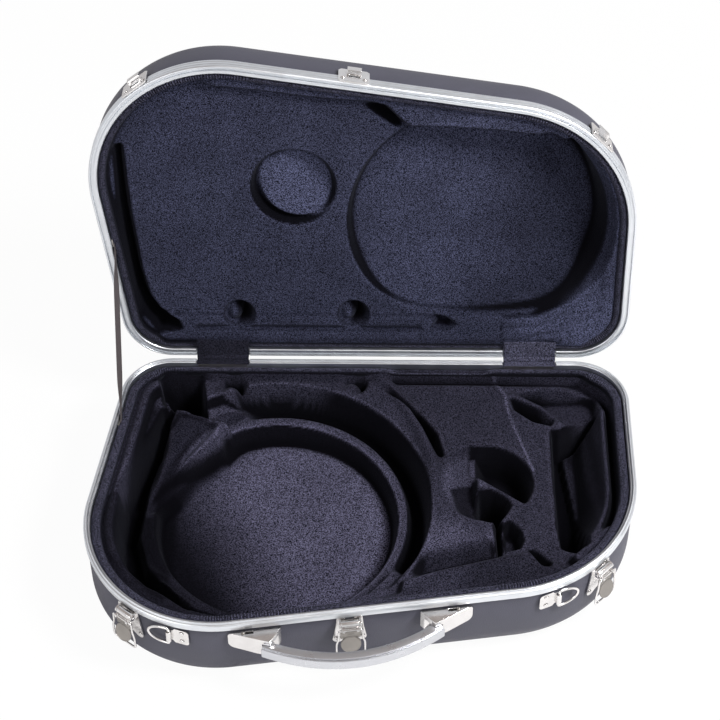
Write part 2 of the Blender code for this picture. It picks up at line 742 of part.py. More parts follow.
def bail_path():
    """Middle line of the bail in its own plane, with its top bar on the axis."""
    bend = 3.5
    corners = ((BAIL_HALF - bend, -bend, 90.0), (BAIL_HALF - bend, bend - BAIL_LENGTH, 0.0),
               (bend - BAIL_HALF, bend - BAIL_LENGTH, -90.0), (bend - BAIL_HALF, -bend, -180.0))
    path = []
    for s, z, start in corners:
        path.extend(arc((s, z), bend, start, start - 90.0, 3))
    return path


def latch(side_name, place, radius):
    seat = new_seat(f"latch_{side_name}_seat", place, case)
    fall = recede(radius, LATCH_RIVET_S + TAIL_RADIUS)
    plate = new_object(f"latch_{side_name}_plate",
                       *prism(latch_plate_outline(), 0.0, PLATE, "y"), "nickel", seat)
    ear_out = BARREL_RADIUS - GAP
    ear = [(-(LATCH_AXIS_OUT + y), z) for y, z in arc((0.0, LATCH_AXIS_Z), ear_out, -90.0, 90.0, 8)]
    ear = [(PLATE / 2.0, LATCH_AXIS_Z - ear_out), *ear, (PLATE / 2.0, LATCH_AXIS_Z + ear_out)]
    ear_start = BARREL_HALF + GAP
    for i, low in enumerate((-ear_start - EAR, ear_start)):
        tool = cutter(f"latch_{side_name}_ear_{i}", prism(ear, low, low + EAR, "x"), seat)
        combine(plate, tool, "UNION")
    reach = ear_start + EAR + 1.0
    bore = moved(rod(LATCH_PIN_RADIUS + PIN_PLAY, -reach, reach), (0.0, -LATCH_AXIS_OUT, LATCH_AXIS_Z))
    combine(plate, cutter(f"latch_{side_name}_bore", bore, seat), "DIFFERENCE")
    for i, s in enumerate((-LATCH_RIVET_S, LATCH_RIVET_S)):
        hole = rivet_hole(f"latch_{side_name}_hole_{i}", seat, s, LATCH_RIVET_Z, HOLE_START, HOLE_END)
        combine(plate, hole, "DIFFERENCE")
        combine(base_shell, hole, "DIFFERENCE")
        rivet(f"latch_{side_name}_rivet_{i + 1}", seat, s, LATCH_RIVET_Z, GAP,
              WALL_INSIDE_OUT - GAP - fall)
    axis = (0.0, -LATCH_AXIS_OUT, LATCH_AXIS_Z)
    pin = rod(LATCH_PIN_RADIUS, -reach + 0.4, reach - 0.4)
    new_object(f"latch_{side_name}_pin", *pin, "nickel", seat, axis)

    back = np.negative(axis)
    lever = new_object(f"latch_{side_name}_lever", *rod(BARREL_RADIUS, -BARREL_HALF, BARREL_HALF, 16),
                       "nickel", seat, axis)
    face = 0.1 - (LATCH_AXIS_OUT + BARREL_RADIUS)
    lug = moved(rod(LUG_RADIUS, -LUG_WIDTH / 2.0, LUG_WIDTH / 2.0, 14), (0, -BAIL_AXIS_OUT, BAIL_AXIS_Z))
    added = {"blade": prism(lever_outline(), face, face + LEVER, "y"), "thumb": thumb_disc(),
             "lug_0": moved(lug, (-LUG_S, 0, 0)), "lug_1": moved(lug, (LUG_S, 0, 0))}
    for name, shape in added.items():
        tool = cutter(f"latch_{side_name}_{name}", moved(shape, back), lever)
        combine(lever, tool, "UNION")
    pin_bore = rod(LATCH_PIN_RADIUS + PIN_PLAY, -reach, reach)
    wire_bore = moved(rod(WIRE_RADIUS + GAP, -reach, reach, 12), (0, -BAIL_AXIS_OUT, BAIL_AXIS_Z))
    for name, shape in {"pin_bore": pin_bore, "wire_bore": moved(wire_bore, back)}.items():
        combine(lever, cutter(f"latch_{side_name}_{name}", shape, lever), "DIFFERENCE")
    offset = (0.0, -(BAIL_AXIS_OUT - LATCH_AXIS_OUT), BAIL_AXIS_Z - LATCH_AXIS_Z)
    new_object(f"latch_{side_name}_bail", *wire_loop(bail_path(), WIRE_RADIUS), "nickel", lever, offset)


def keeper(side_name, place, radius):
    seat = new_seat(f"keeper_{side_name}_seat", place, lid)
    clip = 3.0
    outline_2d = mirrored_outline([(KEEPER_HALF - clip, KEEPER_TOP_Z),
                                   (KEEPER_HALF, KEEPER_TOP_Z - clip),
                                   (KEEPER_HALF, KEEPER_BOTTOM_Z + clip / 2.0),
                                   (KEEPER_HALF - clip / 2.0, KEEPER_BOTTOM_Z)])
    plate = new_object(f"keeper_{side_name}", *prism(outline_2d, -GAP - PLATE, -GAP, "y"), "nickel", seat)
    front = GAP + PLATE
    drop = BAIL_AXIS_OUT - (front + GAP + WIRE_RADIUS)
    ledge = BAIL_AXIS_Z + math.sqrt(BAIL_LENGTH ** 2 - drop ** 2) - WIRE_RADIUS - GAP
    inner = front + 2.0 * WIRE_RADIUS + 2.0 * GAP
    hook = [(front - 0.5, ledge - LEVER), (inner + LEVER, ledge - LEVER),
            (inner + LEVER, ledge + HOOK_RISE), (inner, ledge + HOOK_RISE), (inner, ledge),
            (front - 0.5, ledge)]
    hook = [(-out, z) for out, z in hook]
    tool = cutter(f"keeper_{side_name}_hook", prism(hook, -HOOK_HALF, HOOK_HALF, "x"), seat)
    combine(plate, tool, "UNION")
    window = box((1.5 - HOOK_HALF, HOOK_HALF - 1.5), (-front - 1.0, 1.0), (ledge - 9.0, ledge - 3.5))
    combine(plate, cutter(f"keeper_{side_name}_window", window, seat), "DIFFERENCE")
    for i, s in enumerate((-KEEPER_RIVET_S, KEEPER_RIVET_S)):
        hole = rivet_hole(f"keeper_{side_name}_hole_{i}", seat, s, KEEPER_RIVET_Z,
                          HOLE_START, HOLE_END)
        for target in (plate, lid_rim, lid_shell):
            combine(target, hole, "DIFFERENCE")
        rivet(f"keeper_{side_name}_rivet_{i + 1}", seat, s, KEEPER_RIVET_Z, front + GAP,
              WALL_INSIDE_OUT - GAP - recede(radius, KEEPER_RIVET_S + TAIL_RADIUS))


for side_name, (place, wall_radius) in LATCH_PLACES.items():
    latch(side_name, place, wall_radius)
    keeper(side_name, place, wall_radius)


# Carrying handle: a bowed grip whose ends run in two wedge brackets

BRACKET_BACK_OUT = GAP - SHELL_INSET


def grip_out(s):
    """Distance of the grip's middle line from the wall."""
    return GRIP_RISE + GRIP_THICK / 2.0 - GRIP_CURVE * s * s


GRIP_MIDDLE_Z = (GRIP_TOP_Z + GRIP_BOTTOM_Z) / 2.0
ROOT_S = (GRIP_END_S - 7.5, GRIP_END_S - 1.5)
ROOT_OUT = (5.4, 12.0)
SPRING_OUT = (5.4, 7.4)
SPRING_HALF_Z = 3.5
SIDE_PLAY = 0.8
NOTCH_END_S = GRIP_END_S + 1.5
SLOT_OUT = (SLIDE_PIN_OUT - SLIDE_PIN_RADIUS - GAP, SLIDE_PIN_OUT + SLIDE_PIN_RADIUS + GAP)
SLOT_S = (SLIDE_PIN_S - PIN_TRAVEL - SLIDE_PIN_RADIUS - SLOT_PLAY,
          SLIDE_PIN_S + SLIDE_PIN_RADIUS + SLOT_PLAY)


def handle_box(side, s, out, z):
    """A box between distances along the wall on one side of the handle, out of it and up."""
    return box(sorted((side * s[0], side * s[1])), (-out[1], -out[0]), z)


def bracket(side_name, side, seat):
    plan = [(HANDLE_HALF, BRACKET_BACK_OUT), (HANDLE_HALF, BRACKET_LIP), (NOSE_S, NOSE_OUT),
            (NOSE_S - 1.5 * BRACKET_LIP, NOSE_OUT - BRACKET_LIP), (FOOT_S, BRACKET_LIP),
            (FOOT_S, BRACKET_BACK_OUT)]
    made = new_object(f"handle_bracket_{side_name}",
                      *prism([(side * s, -out) for s, out in plan], BRACKET_BOTTOM_Z, BRACKET_TOP_Z),
                      "nickel", seat)
    top, low = 5.0, 7.0
    front = [(FOOT_S - 4.0, BRACKET_TOP_Z + 1.0), (NOSE_S, BRACKET_TOP_Z + 1.0),
             *arc((HANDLE_HALF - top, BRACKET_TOP_Z - top), top, 80.0, 0.0, 5),
             *arc((HANDLE_HALF - low, BRACKET_BOTTOM_Z + low + 2.0), low, 0.0, -75.0, 5),
             (NOSE_S + 4.0, BRACKET_BOTTOM_Z - 1.0), (FOOT_S - 4.0, BRACKET_BOTTOM_Z - 1.0)]
    face = prism([(side * s, z) for s, z in front], -2.0 * NOSE_OUT, NOSE_OUT, "y")
    combine(made, cutter(f"bracket_{side_name}_face", face, seat), "INTERSECT")
    cuts = {
        "notch": ((FOOT_S - 4.0, NOTCH_END_S), (ROOT_OUT[0] - GAP, 2.0 * NOSE_OUT),
                  (GRIP_BOTTOM_Z - SIDE_PLAY, GRIP_TOP_Z + SIDE_PLAY)),
        "channel": ((NOTCH_END_S - 1.0, TONGUE_END_S + SIDE_PLAY),
                    (SPRING_OUT[0] - GAP, SPRING_OUT[1] + GRIP_TRAVEL + GAP),
                    (GRIP_MIDDLE_Z - SPRING_HALF_Z - SIDE_PLAY, GRIP_MIDDLE_Z + SPRING_HALF_Z + SIDE_PLAY)),
        "slot": (SLOT_S, SLOT_OUT, (2.0 * BRACKET_BOTTOM_Z, 0.0)),
    }
    for name, (s, out, z) in cuts.items():
        tool = cutter(f"bracket_{side_name}_{name}", handle_box(side, s, out, z), seat)
        combine(made, tool, "DIFFERENCE")


def grip_shape():
    """The bowed bar: a chamfered rectangle carried along the bow, square to it."""
    chamfer = 2.6
    shoulder = 0.3 * chamfer
    inner = 1.0
    half_out = GRIP_THICK / 2.0
    half_z = (GRIP_TOP_Z - GRIP_BOTTOM_Z) / 2.0
    section = [(half_out, half_z - chamfer), (half_out - shoulder, half_z - shoulder),
               (half_out - chamfer, half_z), (inner - half_out, half_z), (-half_out, half_z - inner)]
    section += [(out, -z) for out, z in reversed(section)]
    vertices = []
    stations = np.linspace(-GRIP_END_S, GRIP_END_S, 21)
    for s in stations:
        slope = -2.0 * GRIP_CURVE * s
        normal = np.array((-slope, 1.0)) / math.hypot(slope, 1.0)
        for out, z in section:
            vertices.append((s + normal[0] * out, -(grip_out(s) + normal[1] * out), GRIP_MIDDLE_Z + z))
    return vertices, capped(len(stations), len(section))


handle_seat = new_seat("handle_seat", front_seat(HANDLE_X), case)
handle_grip = new_object("handle_grip", *grip_shape(), "grip", handle_seat)
for side_name, side in (("left", -1.0), ("right", 1.0)):
    bracket(side_name, side, handle_seat)
    root = handle_box(side, ROOT_S, ROOT_OUT,
                      (GRIP_MIDDLE_Z - SPRING_HALF_Z - 0.2, GRIP_MIDDLE_Z + SPRING_HALF_Z + 0.2))
    spring = handle_box(side, (ROOT_S[0] + 1.0, TONGUE_END_S), (SPRING_OUT[0] + 0.05, SPRING_OUT[1]),
                        (GRIP_MIDDLE_Z - SPRING_HALF_Z, GRIP_MIDDLE_Z + SPRING_HALF_Z))
    combine(handle_grip, cutter(f"grip_root_{side_name}", root, handle_seat), "UNION")
    combine(handle_grip, cutter(f"grip_spring_{side_name}", spring, handle_seat), "UNION")
    cap = SLIDE_PIN_RADIUS + 0.9
    rise = 0.7
    under = BRACKET_TOP_Z + GAP
    pin_profile = ((SLIDE_PIN_RADIUS, BRACKET_BOTTOM_Z - 0.5), (SLIDE_PIN_RADIUS, under),
                   (cap, under), (cap, under + rise), (0.6 * cap, under + 1.7 * rise))
    new_object(f"handle_pin_{side_name}", *turned(pin_profile, 14, "z"), "nickel", handle_seat,
               (side * SLIDE_PIN_S, -SLIDE_PIN_OUT, 0.0))


# D-rings, each on an upright bar held by a riveted clip

RING_PLACES = {
    "left": (arc_seat(1, 0.755), FRONT_LEFT_RADIUS, 1.0),
    "right": (arc_seat(2, 0.2), FRONT_RIGHT_RADIUS, -1.0),
}
RING_AXIS_OUT = GAP + RING_WIRE - 0.2
RING_MIDDLE_Z = RING_TOP_Z - RING_WIRE - RING_HEIGHT / 2.0
CLIP_RIVET_S = 13.5
CLIP_RIVET_RISE = 6.5


def ring_path(side):
    """Middle line of a D-ring about its own axis: an upright bar, and a bow away from the clip."""
    flat = 4.0
    half = RING_HEIGHT / 2.0
    bow = [(-side * (flat + (RING_REACH - flat) * math.cos(a)), half * math.sin(a))
           for a in np.linspace(math.pi / 2.0, -math.pi / 2.0, 11)]
    return [(0.0, -half), (0.0, half), *bow]


for side_name, (place, wall_radius, side) in RING_PLACES.items():
    seat = new_seat(f"dring_{side_name}_seat", place, case)
    new_object(f"d_ring_{side_name}", *wire_loop(ring_path(side), RING_WIRE), "nickel", seat,
               (0.0, -RING_AXIS_OUT, RING_MIDDLE_Z))
    half = CLIP_BARREL_HALF + 3.5
    trim = 4.0
    shape = [(0.0, CLIP_BARREL_HALF), (3.5, CLIP_BARREL_HALF), (6.0, half),
             *arc((CLIP_WIDTH - trim, half - trim), trim, 90.0, 0.0, 4),
             *arc((CLIP_WIDTH - trim, trim - half), trim, 0.0, -90.0, 4),
             (6.0, -half), (3.5, -CLIP_BARREL_HALF), (0.0, -CLIP_BARREL_HALF)]
    clip_y = SHELL_INSET - GAP
    clip = new_object(f"dring_plate_{side_name}",
                      *prism([(side * s, RING_MIDDLE_Z + z) for s, z in shape], clip_y - CLIP, clip_y, "y"),
                      "nickel", seat)
    barrel_radius = RING_AXIS_OUT + clip_y - 0.2
    barrel = moved(rod(barrel_radius, 0.2 - CLIP_BARREL_HALF, CLIP_BARREL_HALF - 0.2, 18, "z"),
                   (0.0, -RING_AXIS_OUT, RING_MIDDLE_Z))
    bore = moved(rod(RING_WIRE + GAP, -RING_HEIGHT, RING_HEIGHT, 16, "z"),
                 (0.0, -RING_AXIS_OUT, RING_MIDDLE_Z))
    combine(clip, cutter(f"dring_{side_name}_barrel", barrel, seat), "UNION")
    combine(clip, cutter(f"dring_{side_name}_bore", bore, seat), "DIFFERENCE")
    for i, rise in enumerate((-CLIP_RIVET_RISE, CLIP_RIVET_RISE)):
        z = RING_MIDDLE_Z + rise
        hole = rivet_hole(f"dring_{side_name}_hole_{i}", seat, side * CLIP_RIVET_S, z,
                          HOLE_START, HOLE_END)
        combine(clip, hole, "DIFFERENCE")
        combine(base_shell, hole, "DIFFERENCE")
        rivet(f"dring_{side_name}_rivet_{i + 1}", seat, side * CLIP_RIVET_S, z, CLIP - clip_y + GAP,
              WALL_INSIDE_OUT - GAP - recede(wall_radius, CLIP_RIVET_S + TAIL_RADIUS))


# Stay strap: a ribbon from the left wall of the base to the left wall of the lid

def left_wall_place(y):
    start, end = CORNERS[0], CORNERS[1]
    length = float(np.linalg.norm(end - start))
    return edge_seat(0, (y - start[1]) / (end[1] - start[1]) * length)


def anchor(name, place, parent, lining, rim, inset, z):
    """A riveted plate that holds one end of the strap, with room for it in the lining."""
    seat = new_seat(f"strap_{name}_seat", place, parent)
    plate = new_object(f"strap_anchor_{name}",
                       *box((-ANCHOR_HALF, ANCHOR_HALF), (inset, inset + ANCHOR),
                            (z - ANCHOR_RISE, z + ANCHOR_RISE)), "nickel", seat)
    hole = rivet_hole(f"strap_{name}_hole", seat, 0.0, z, -(inset - RIM_LEG - 0.1), -(inset + ANCHOR + 1.0))
    combine(plate, hole, "DIFFERENCE")
    combine(rim, hole, "DIFFERENCE")
    strap_out = -(inset + ANCHOR + STRAP_GAP)
    rivet(f"strap_rivet_{name}", seat, 0.0, z, strap_out - STRAP - STRAP_GAP, -(inset - RIM_LEG + 0.4))
    pocket = box((-ANCHOR_HALF - 3.0 * STRAP_WIDTH, ANCHOR_HALF + STRAP_WIDTH),
                 (0.0, inset + STRAP_POCKET_DEPTH), (-STRAP_POCKET_REACH, STRAP_POCKET_REACH))
    combine(lining, cutter(f"strap_{name}_pocket", pocket, seat), "DIFFERENCE")
    (x, y), (nx, ny) = place
    depth = strap_out - STRAP / 2.0
    return Vector((x + nx * depth, y + ny * depth, z))


base_end = anchor("base", left_wall_place(STRAP_BASE_Y), case, base_lining, base_rim,
                  BASE_LINING_INSET, STRAP_BASE_Z)
lid_end = opened(anchor("lid", left_wall_place(STRAP_LID_Y), lid, lid_lining, lid_rim,
                        LID_LINING_INSET, STRAP_LID_Z))
run = (lid_end - base_end).normalized()
wall_out = Vector((*left_wall_place(STRAP_BASE_Y)[1], 0.0))
wide = run.cross(wall_out).normalized() * STRAP_WIDTH / 2.0
thick = wide.cross(run).normalized() * STRAP / 2.0
tail = run * STRAP_TAIL
ends = (base_end - tail, lid_end + tail)
strap_points = [end + w + t for end in ends for w, t in ((wide, thick), (-wide, thick),
                                                          (-wide, -thick), (wide, -thick))]
stay_strap = new_object("stay_strap", strap_points, capped(2, 4), "cloth", case)
for name in ("base", "lid"):
    seat = bpy.data.objects[f"strap_{name}_seat"]
    inset, z = {"base": (BASE_LINING_INSET, STRAP_BASE_Z), "lid": (LID_LINING_INSET, STRAP_LID_Z)}[name]
    eyelet = moved(rod(SHANK_RADIUS + 2.0 * GAP, inset, inset + 8.0, RIVET_SIDES, "y"), (0.0, 0.0, z))
    combine(stay_strap, cutter(f"strap_{name}_eyelet", eyelet, seat), "DIFFERENCE")


# Origin: the middle of the underside of the whole open case

def corners_of_all():
    graph = bpy.context.evaluated_depsgraph_get()
    low = np.full(3, np.inf)
    high = np.full(3, -np.inf)
    for item in bpy.data.objects:
        if item.type != "MESH" or item.hide_render:
            continue
        evaluated = item.evaluated_get(graph)
        mesh = evaluated.to_mesh()
        points = np.empty(len(mesh.vertices) * 3)
        mesh.vertices.foreach_get("co", points)
        evaluated.to_mesh_clear()
        points = points.reshape(-1, 3) @ np.array(item.matrix_world.to_3x3()).T
        points = points + np.array(item.matrix_world.translation)
        low = np.minimum(low, points.min(axis=0))
        high = np.maximum(high, points.max(axis=0))
    return low, high


bpy.context.view_layer.update()
lowest, highest = corners_of_all()
middle = (lowest + highest) / 2.0
case.location = (-middle[0], -middle[1], -lowest[2])
bpy.context.view_layer.update()
print("case origin in metres", tuple(round(v, 6) for v in case.location))
print("overall size in metres", tuple(round(v, 5) for v in (highest - lowest)))
print("strap length in metres", round((lid_end - base_end).length * MM, 5))
for name in ("lid_hinge_axis", "latch_left_lever", "latch_center_lever", "latch_right_lever",
             "latch_left_bail", "latch_center_bail", "latch_right_bail", "d_ring_left",
             "d_ring_right", "handle_seat", "handle_pin_left", "handle_pin_right"):
    place = bpy.data.objects[name].matrix_world
    print(name, "at", tuple(round(v, 6) for v in place.translation),
          "along", tuple(round(v, 6) for v in place.col[0][:3]))
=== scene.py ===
# %% [markdown]
# # A hard case for a french horn, standing open
# The case is two shallow trays with one lopsided outline. Each tray is a moulded shell inside an
# aluminium rim, lined with foam and plush that follow the horn. This lesson dresses the packed
# model of that case: it builds the visible surface of every piece and gives each its finish.
# The frame holds every node at its real place, in metres, so all new pieces start from it.

# %% Load the frame
import json
import math

import bmesh
import bpy
import numpy as np
from mathutils import Matrix, Vector

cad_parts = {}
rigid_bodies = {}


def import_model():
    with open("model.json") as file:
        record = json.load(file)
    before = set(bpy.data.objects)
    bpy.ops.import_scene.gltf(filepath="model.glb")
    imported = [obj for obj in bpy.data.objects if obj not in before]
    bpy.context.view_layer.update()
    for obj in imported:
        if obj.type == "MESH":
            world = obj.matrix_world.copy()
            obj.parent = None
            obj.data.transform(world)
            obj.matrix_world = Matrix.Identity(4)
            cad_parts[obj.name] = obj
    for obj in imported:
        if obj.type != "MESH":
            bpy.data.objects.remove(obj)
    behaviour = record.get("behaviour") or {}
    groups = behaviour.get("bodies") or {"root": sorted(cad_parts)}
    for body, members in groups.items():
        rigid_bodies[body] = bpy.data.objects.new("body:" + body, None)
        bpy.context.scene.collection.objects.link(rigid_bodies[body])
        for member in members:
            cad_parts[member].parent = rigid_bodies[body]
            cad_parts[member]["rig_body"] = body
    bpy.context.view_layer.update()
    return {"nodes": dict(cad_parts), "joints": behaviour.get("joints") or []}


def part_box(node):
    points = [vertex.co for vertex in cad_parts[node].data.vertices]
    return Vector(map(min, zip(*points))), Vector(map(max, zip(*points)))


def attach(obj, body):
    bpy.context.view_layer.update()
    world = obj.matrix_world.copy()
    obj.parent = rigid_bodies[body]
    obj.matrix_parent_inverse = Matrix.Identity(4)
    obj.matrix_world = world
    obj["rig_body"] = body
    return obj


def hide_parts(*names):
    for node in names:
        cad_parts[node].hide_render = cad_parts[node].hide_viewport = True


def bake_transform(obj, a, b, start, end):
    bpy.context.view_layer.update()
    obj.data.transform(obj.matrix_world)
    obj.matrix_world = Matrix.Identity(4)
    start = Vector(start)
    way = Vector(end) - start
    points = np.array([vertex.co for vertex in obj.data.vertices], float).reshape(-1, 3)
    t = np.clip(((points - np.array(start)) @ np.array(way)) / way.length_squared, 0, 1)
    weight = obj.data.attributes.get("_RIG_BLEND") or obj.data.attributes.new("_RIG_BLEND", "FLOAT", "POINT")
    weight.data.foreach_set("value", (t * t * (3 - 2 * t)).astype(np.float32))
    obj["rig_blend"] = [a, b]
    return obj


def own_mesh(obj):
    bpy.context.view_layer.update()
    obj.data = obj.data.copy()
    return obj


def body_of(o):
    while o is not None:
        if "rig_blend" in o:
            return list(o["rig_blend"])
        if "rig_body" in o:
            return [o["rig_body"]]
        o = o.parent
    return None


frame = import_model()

MM = 0.001
print("the frame has", len(frame["nodes"]), "nodes")

# %% [markdown]
# ## The outline
# Seen from above the case has four corners with four different radii, joined by straight edges.
# The drawing below uses millimetres: X along the hinge, Y to the back, and Z = 0 on the face of
# the base's rim. A walk round the outline gives points and outward directions as arrays, and
# moving every point inwards along its direction gives any ring that runs parallel to the edge.

# %% Outline of the case
CORNERS = np.array(((-259.0, 0.0), (-315.8, -386.1), (288.7, -297.4), (290.4, 0.0)))
CORNER_RADII = (55.2, 139.5, 150.8, 58.4)
HINGE_X = {"left": -156.8, "right": 183.5}
NOTCH_HALF = 29.75


def edge_direction(i):
    """Unit vector from a corner to the next one."""
    along = CORNERS[(i + 1) % 4] - CORNERS[i % 4]
    return along / np.linalg.norm(along)


def outward(along):
    """A direction along the outline turned a quarter to the right, which is out of the case."""
    return np.array((along[1], -along[0]))


def corner_arc(i):
    """Centre, first angle and turn of a round corner, found from the bisector of its edges."""
    before, after = outward(edge_direction(i - 1)), outward(edge_direction(i))
    middle = (before + after) / np.linalg.norm(before + after)
    centre = CORNERS[i] - middle * CORNER_RADII[i] / np.dot(middle, before)
    turn = math.atan2(before[0] * after[1] - before[1] * after[0], np.dot(before, after))
    return centre, math.atan2(before[1], before[0]), turn


def walk(spacing):
    """Edge points and outward directions round the outline, with a doubled point at each notch."""
    points, normals = [], []
    for i in range(4):
        centre, first, turn = corner_arc(i)
        steps = max(4, int(round(turn * CORNER_RADII[i] / spacing)))
        angles = first + turn * np.linspace(0.0, 1.0, steps + 1)
        ring = np.stack((np.cos(angles), np.sin(angles)), axis=1)
        points.append(centre + CORNER_RADII[i] * ring)
        normals.append(ring)
        following, angle, _ = corner_arc((i + 1) % 4)
        reach = following + CORNER_RADII[(i + 1) % 4] * np.array((math.cos(angle), math.sin(angle)))
        length = np.linalg.norm(reach - points[-1][-1])
        shares = np.linspace(0.0, 1.0, max(2, int(round(length / spacing))) + 1)[1:-1]
        if i == 3:
            start_x = points[-1][-1][0]
            marks = [c + side * NOTCH_HALF + nudge for c in HINGE_X.values()
                     for side in (-1.0, 1.0) for nudge in (-0.05, 0.05)]
            shares = np.sort(np.append(shares, [(start_x - x) / length for x in marks]))
        points.append(points[-1][-1] + shares[:, None] * (reach - points[-1][-1]))
        normals.append(np.tile(outward(edge_direction(i)), (len(shares), 1)))
    return np.concatenate(points), np.concatenate(normals)


EDGE, NORMAL = walk(2.0)
print("points round the outline:", len(EDGE))

# %% [markdown]
# ## Places
# Three helpers turn drawing millimetres into metres in the frame: one for the base, one for the
# lid, which is drawn closed and swung open about the hinge axis, and one for hardware, which is
# drawn on a seat: along the wall, out of the case and up. The hinge axis and the opening angle
# come from the frame's joint, so the dressed lid can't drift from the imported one. The inside of
# the base lies below its rim's face and the inside of the lid above it, which SIDE gives as a
# sign.

# %% From the drawing to the frame
HINGE = next(j for j in frame["joints"] if j["name"] == "lid_hinge")
OPENING = math.radians(HINGE["range_deg"][1])
AXIS = np.array((0.0, 1.5, 0.3))
SHIFT = np.array((0.0, HINGE["pos_m"][1] / MM - AXIS[1], HINGE["pos_m"][2] / MM - AXIS[2]))
SHIFT[0] = (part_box("base_rim")[0].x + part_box("base_rim")[1].x) / (2.0 * MM) - (
    EDGE[:, 0].min() + EDGE[:, 0].max()) / 2.0


def in_base(points):
    """Drawing millimetres to frame metres."""
    return (np.asarray(points, dtype=float) + SHIFT) * MM


def in_lid(points):
    """Turn points of the closed lid about the hinge axis by the opening angle, then place them."""
    p = np.asarray(points, dtype=float) - AXIS
    c, s = math.cos(OPENING), math.sin(OPENING)
    turned = np.stack((p[..., 0], c * p[..., 1] + s * p[..., 2], c * p[..., 2] - s * p[..., 1]), axis=-1)
    return in_base(turned + AXIS)


def on_seat(place, direction, mount=in_base):
    """A placing function for points given as (along the wall, out of the case, up)."""
    along = np.array((-direction[1], direction[0]))

    def put(points):
        """The place, plus the first number along the wall and the second outwards, then up."""
        p = np.asarray(points, dtype=float)
        flat = place + p[..., :1] * along + p[..., 1:2] * direction
        return mount(np.concatenate((flat, p[..., 2:]), axis=-1))
    return put


SIDE = {"base": -1.0, "lid": 1.0}
MOUNT = {"base": in_base, "lid": in_lid}


def front_place(x):
    """A place on the straight front edge, and the direction out of the case there."""
    share = (x - CORNERS[1][0]) / (CORNERS[2][0] - CORNERS[1][0])
    return CORNERS[1] + share * (CORNERS[2] - CORNERS[1]), outward(edge_direction(1))


def corner_place(i, share):
    """A place on a round corner, at a share of its turn, and the direction out of the case."""
    centre, first, turn = corner_arc(i)
    direction = np.array((math.cos(first + turn * share), math.sin(first + turn * share)))
    return centre + CORNER_RADII[i] * direction, direction


print("drawing origin in the frame, mm:", SHIFT.round(2))

# %% [markdown]
# ## Surfaces from grids
# Every new piece is a function of two parameters. Its points are an array of rows and columns,
# and neighbouring points make the quads. Columns close up where a shape goes round, rows close
# up on a torus, and a row of equal points makes a pole. Merging equal points closes the poles.

# %% Mesh from grids
def quads(rows, columns, closed_columns, closed_rows):
    """Corner numbers of the quads between neighbouring rows and columns of one grid."""
    i = np.arange(rows if closed_rows else rows - 1)[:, None]
    j = np.arange(columns if closed_columns else columns - 1)[None, :]
    down, right = (i + 1) % rows, (j + 1) % columns
    corner = (i * columns + j, i * columns + right, down * columns + right, down * columns + j)
    return np.stack([c.ravel() for c in np.broadcast_arrays(*corner)], axis=1)


def make(name, grids, finish, body, replaced=(), sharp=40.0, merge=0.002):
    """One piece from (grid, closed columns, closed rows) shells, in metres; sharp is in degrees."""
    points, faces, count = [], [], 0
    for grid, closed_columns, closed_rows in grids:
        rows, columns = grid.shape[:2]
        faces.append(quads(rows, columns, closed_columns, closed_rows) + count)
        points.append(grid.reshape(-1, 3))
        count += rows * columns
    mesh = bpy.data.meshes.new(name)
    mesh.from_pydata(np.concatenate(points).tolist(), [], np.concatenate(faces).tolist())
    return finished(name, mesh, finish, body, replaced, sharp, merge)


def finished(name, mesh, finish, body, replaced=(), sharp=40.0, merge=0.002):
    """Merge equal points, point the faces outwards, shade, dress and mount a mesh."""
    work = bmesh.new()
    work.from_mesh(mesh)
    bmesh.ops.remove_doubles(work, verts=work.verts, dist=merge * MM)
    bmesh.ops.dissolve_degenerate(work, edges=work.edges, dist=merge * MM)
    bmesh.ops.recalc_face_normals(work, faces=work.faces)
    work.to_mesh(mesh)
    work.free()
    mesh.shade_smooth()
    mesh.set_sharp_from_angle(angle=math.radians(sharp))
    mesh.materials.clear()
    mesh.materials.append(finish)
    piece = bpy.data.objects.new(name, mesh)
    bpy.context.scene.collection.objects.link(piece)
    if replaced:
        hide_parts(*replaced)
    if body:
        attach(piece, body)
    return piece


def give_values(mesh, name, values):
    """Store one number per point as a named attribute, which a material can read."""
    attribute = mesh.attributes.new(name, "FLOAT", "POINT")
    attribute.data.foreach_set("value", np.asarray(values, dtype=np.float32).ravel())


def arc(centre, radius, start, end, steps):
    """Points on an arc, as rows of two numbers, between two angles in degrees."""
    a = np.radians(np.linspace(start, end, steps + 1))
    return np.stack((centre[0] + radius * np.cos(a), centre[1] + radius * np.sin(a)), axis=1)


def with_heights(flat, profile):
    """Rows of flat points, each row at the height of its profile point."""
    return np.concatenate((flat, np.broadcast_to(profile[:, None, 1:], (*flat.shape[:2], 1))), axis=-1)


def swept(profile):
    """Carry a profile of (inset, z) round the outline: point minus inset times direction."""
    profile = np.asarray(profile, dtype=float)
    return with_heights(EDGE[None] - profile[:, None, :1] * NORMAL[None], profile)


def turned(profile, sides):
    """Turn a profile of (radius, height) about the third axis."""
    profile = np.asarray(profile, dtype=float)
    a = np.linspace(0.0, 2.0 * math.pi, sides, endpoint=False)
    ring = np.stack((np.cos(a), np.sin(a)), axis=1)
    return with_heights(profile[:, None, :1] * ring[None], profile)


def tube(path, radius, sides):
    """A round wire along a closed path: at each point a circle in the plane across the path."""
    ahead = np.roll(path, -1, axis=0) - path
    ahead /= np.linalg.norm(ahead, axis=1)[:, None]
    along = ahead + np.roll(ahead, 1, axis=0)
    along /= np.linalg.norm(along, axis=1)[:, None]
    flat = np.cross(path[1] - path[0], path[len(path) // 2] - path[0])
    up = np.broadcast_to(flat / np.linalg.norm(flat), along.shape)
    side = np.cross(along, up)
    a = np.linspace(0.0, 2.0 * math.pi, sides, endpoint=False)
    return path[:, None] + radius * (np.cos(a)[None, :, None] * side[:, None]
                                     + np.sin(a)[None, :, None] * up[:, None])


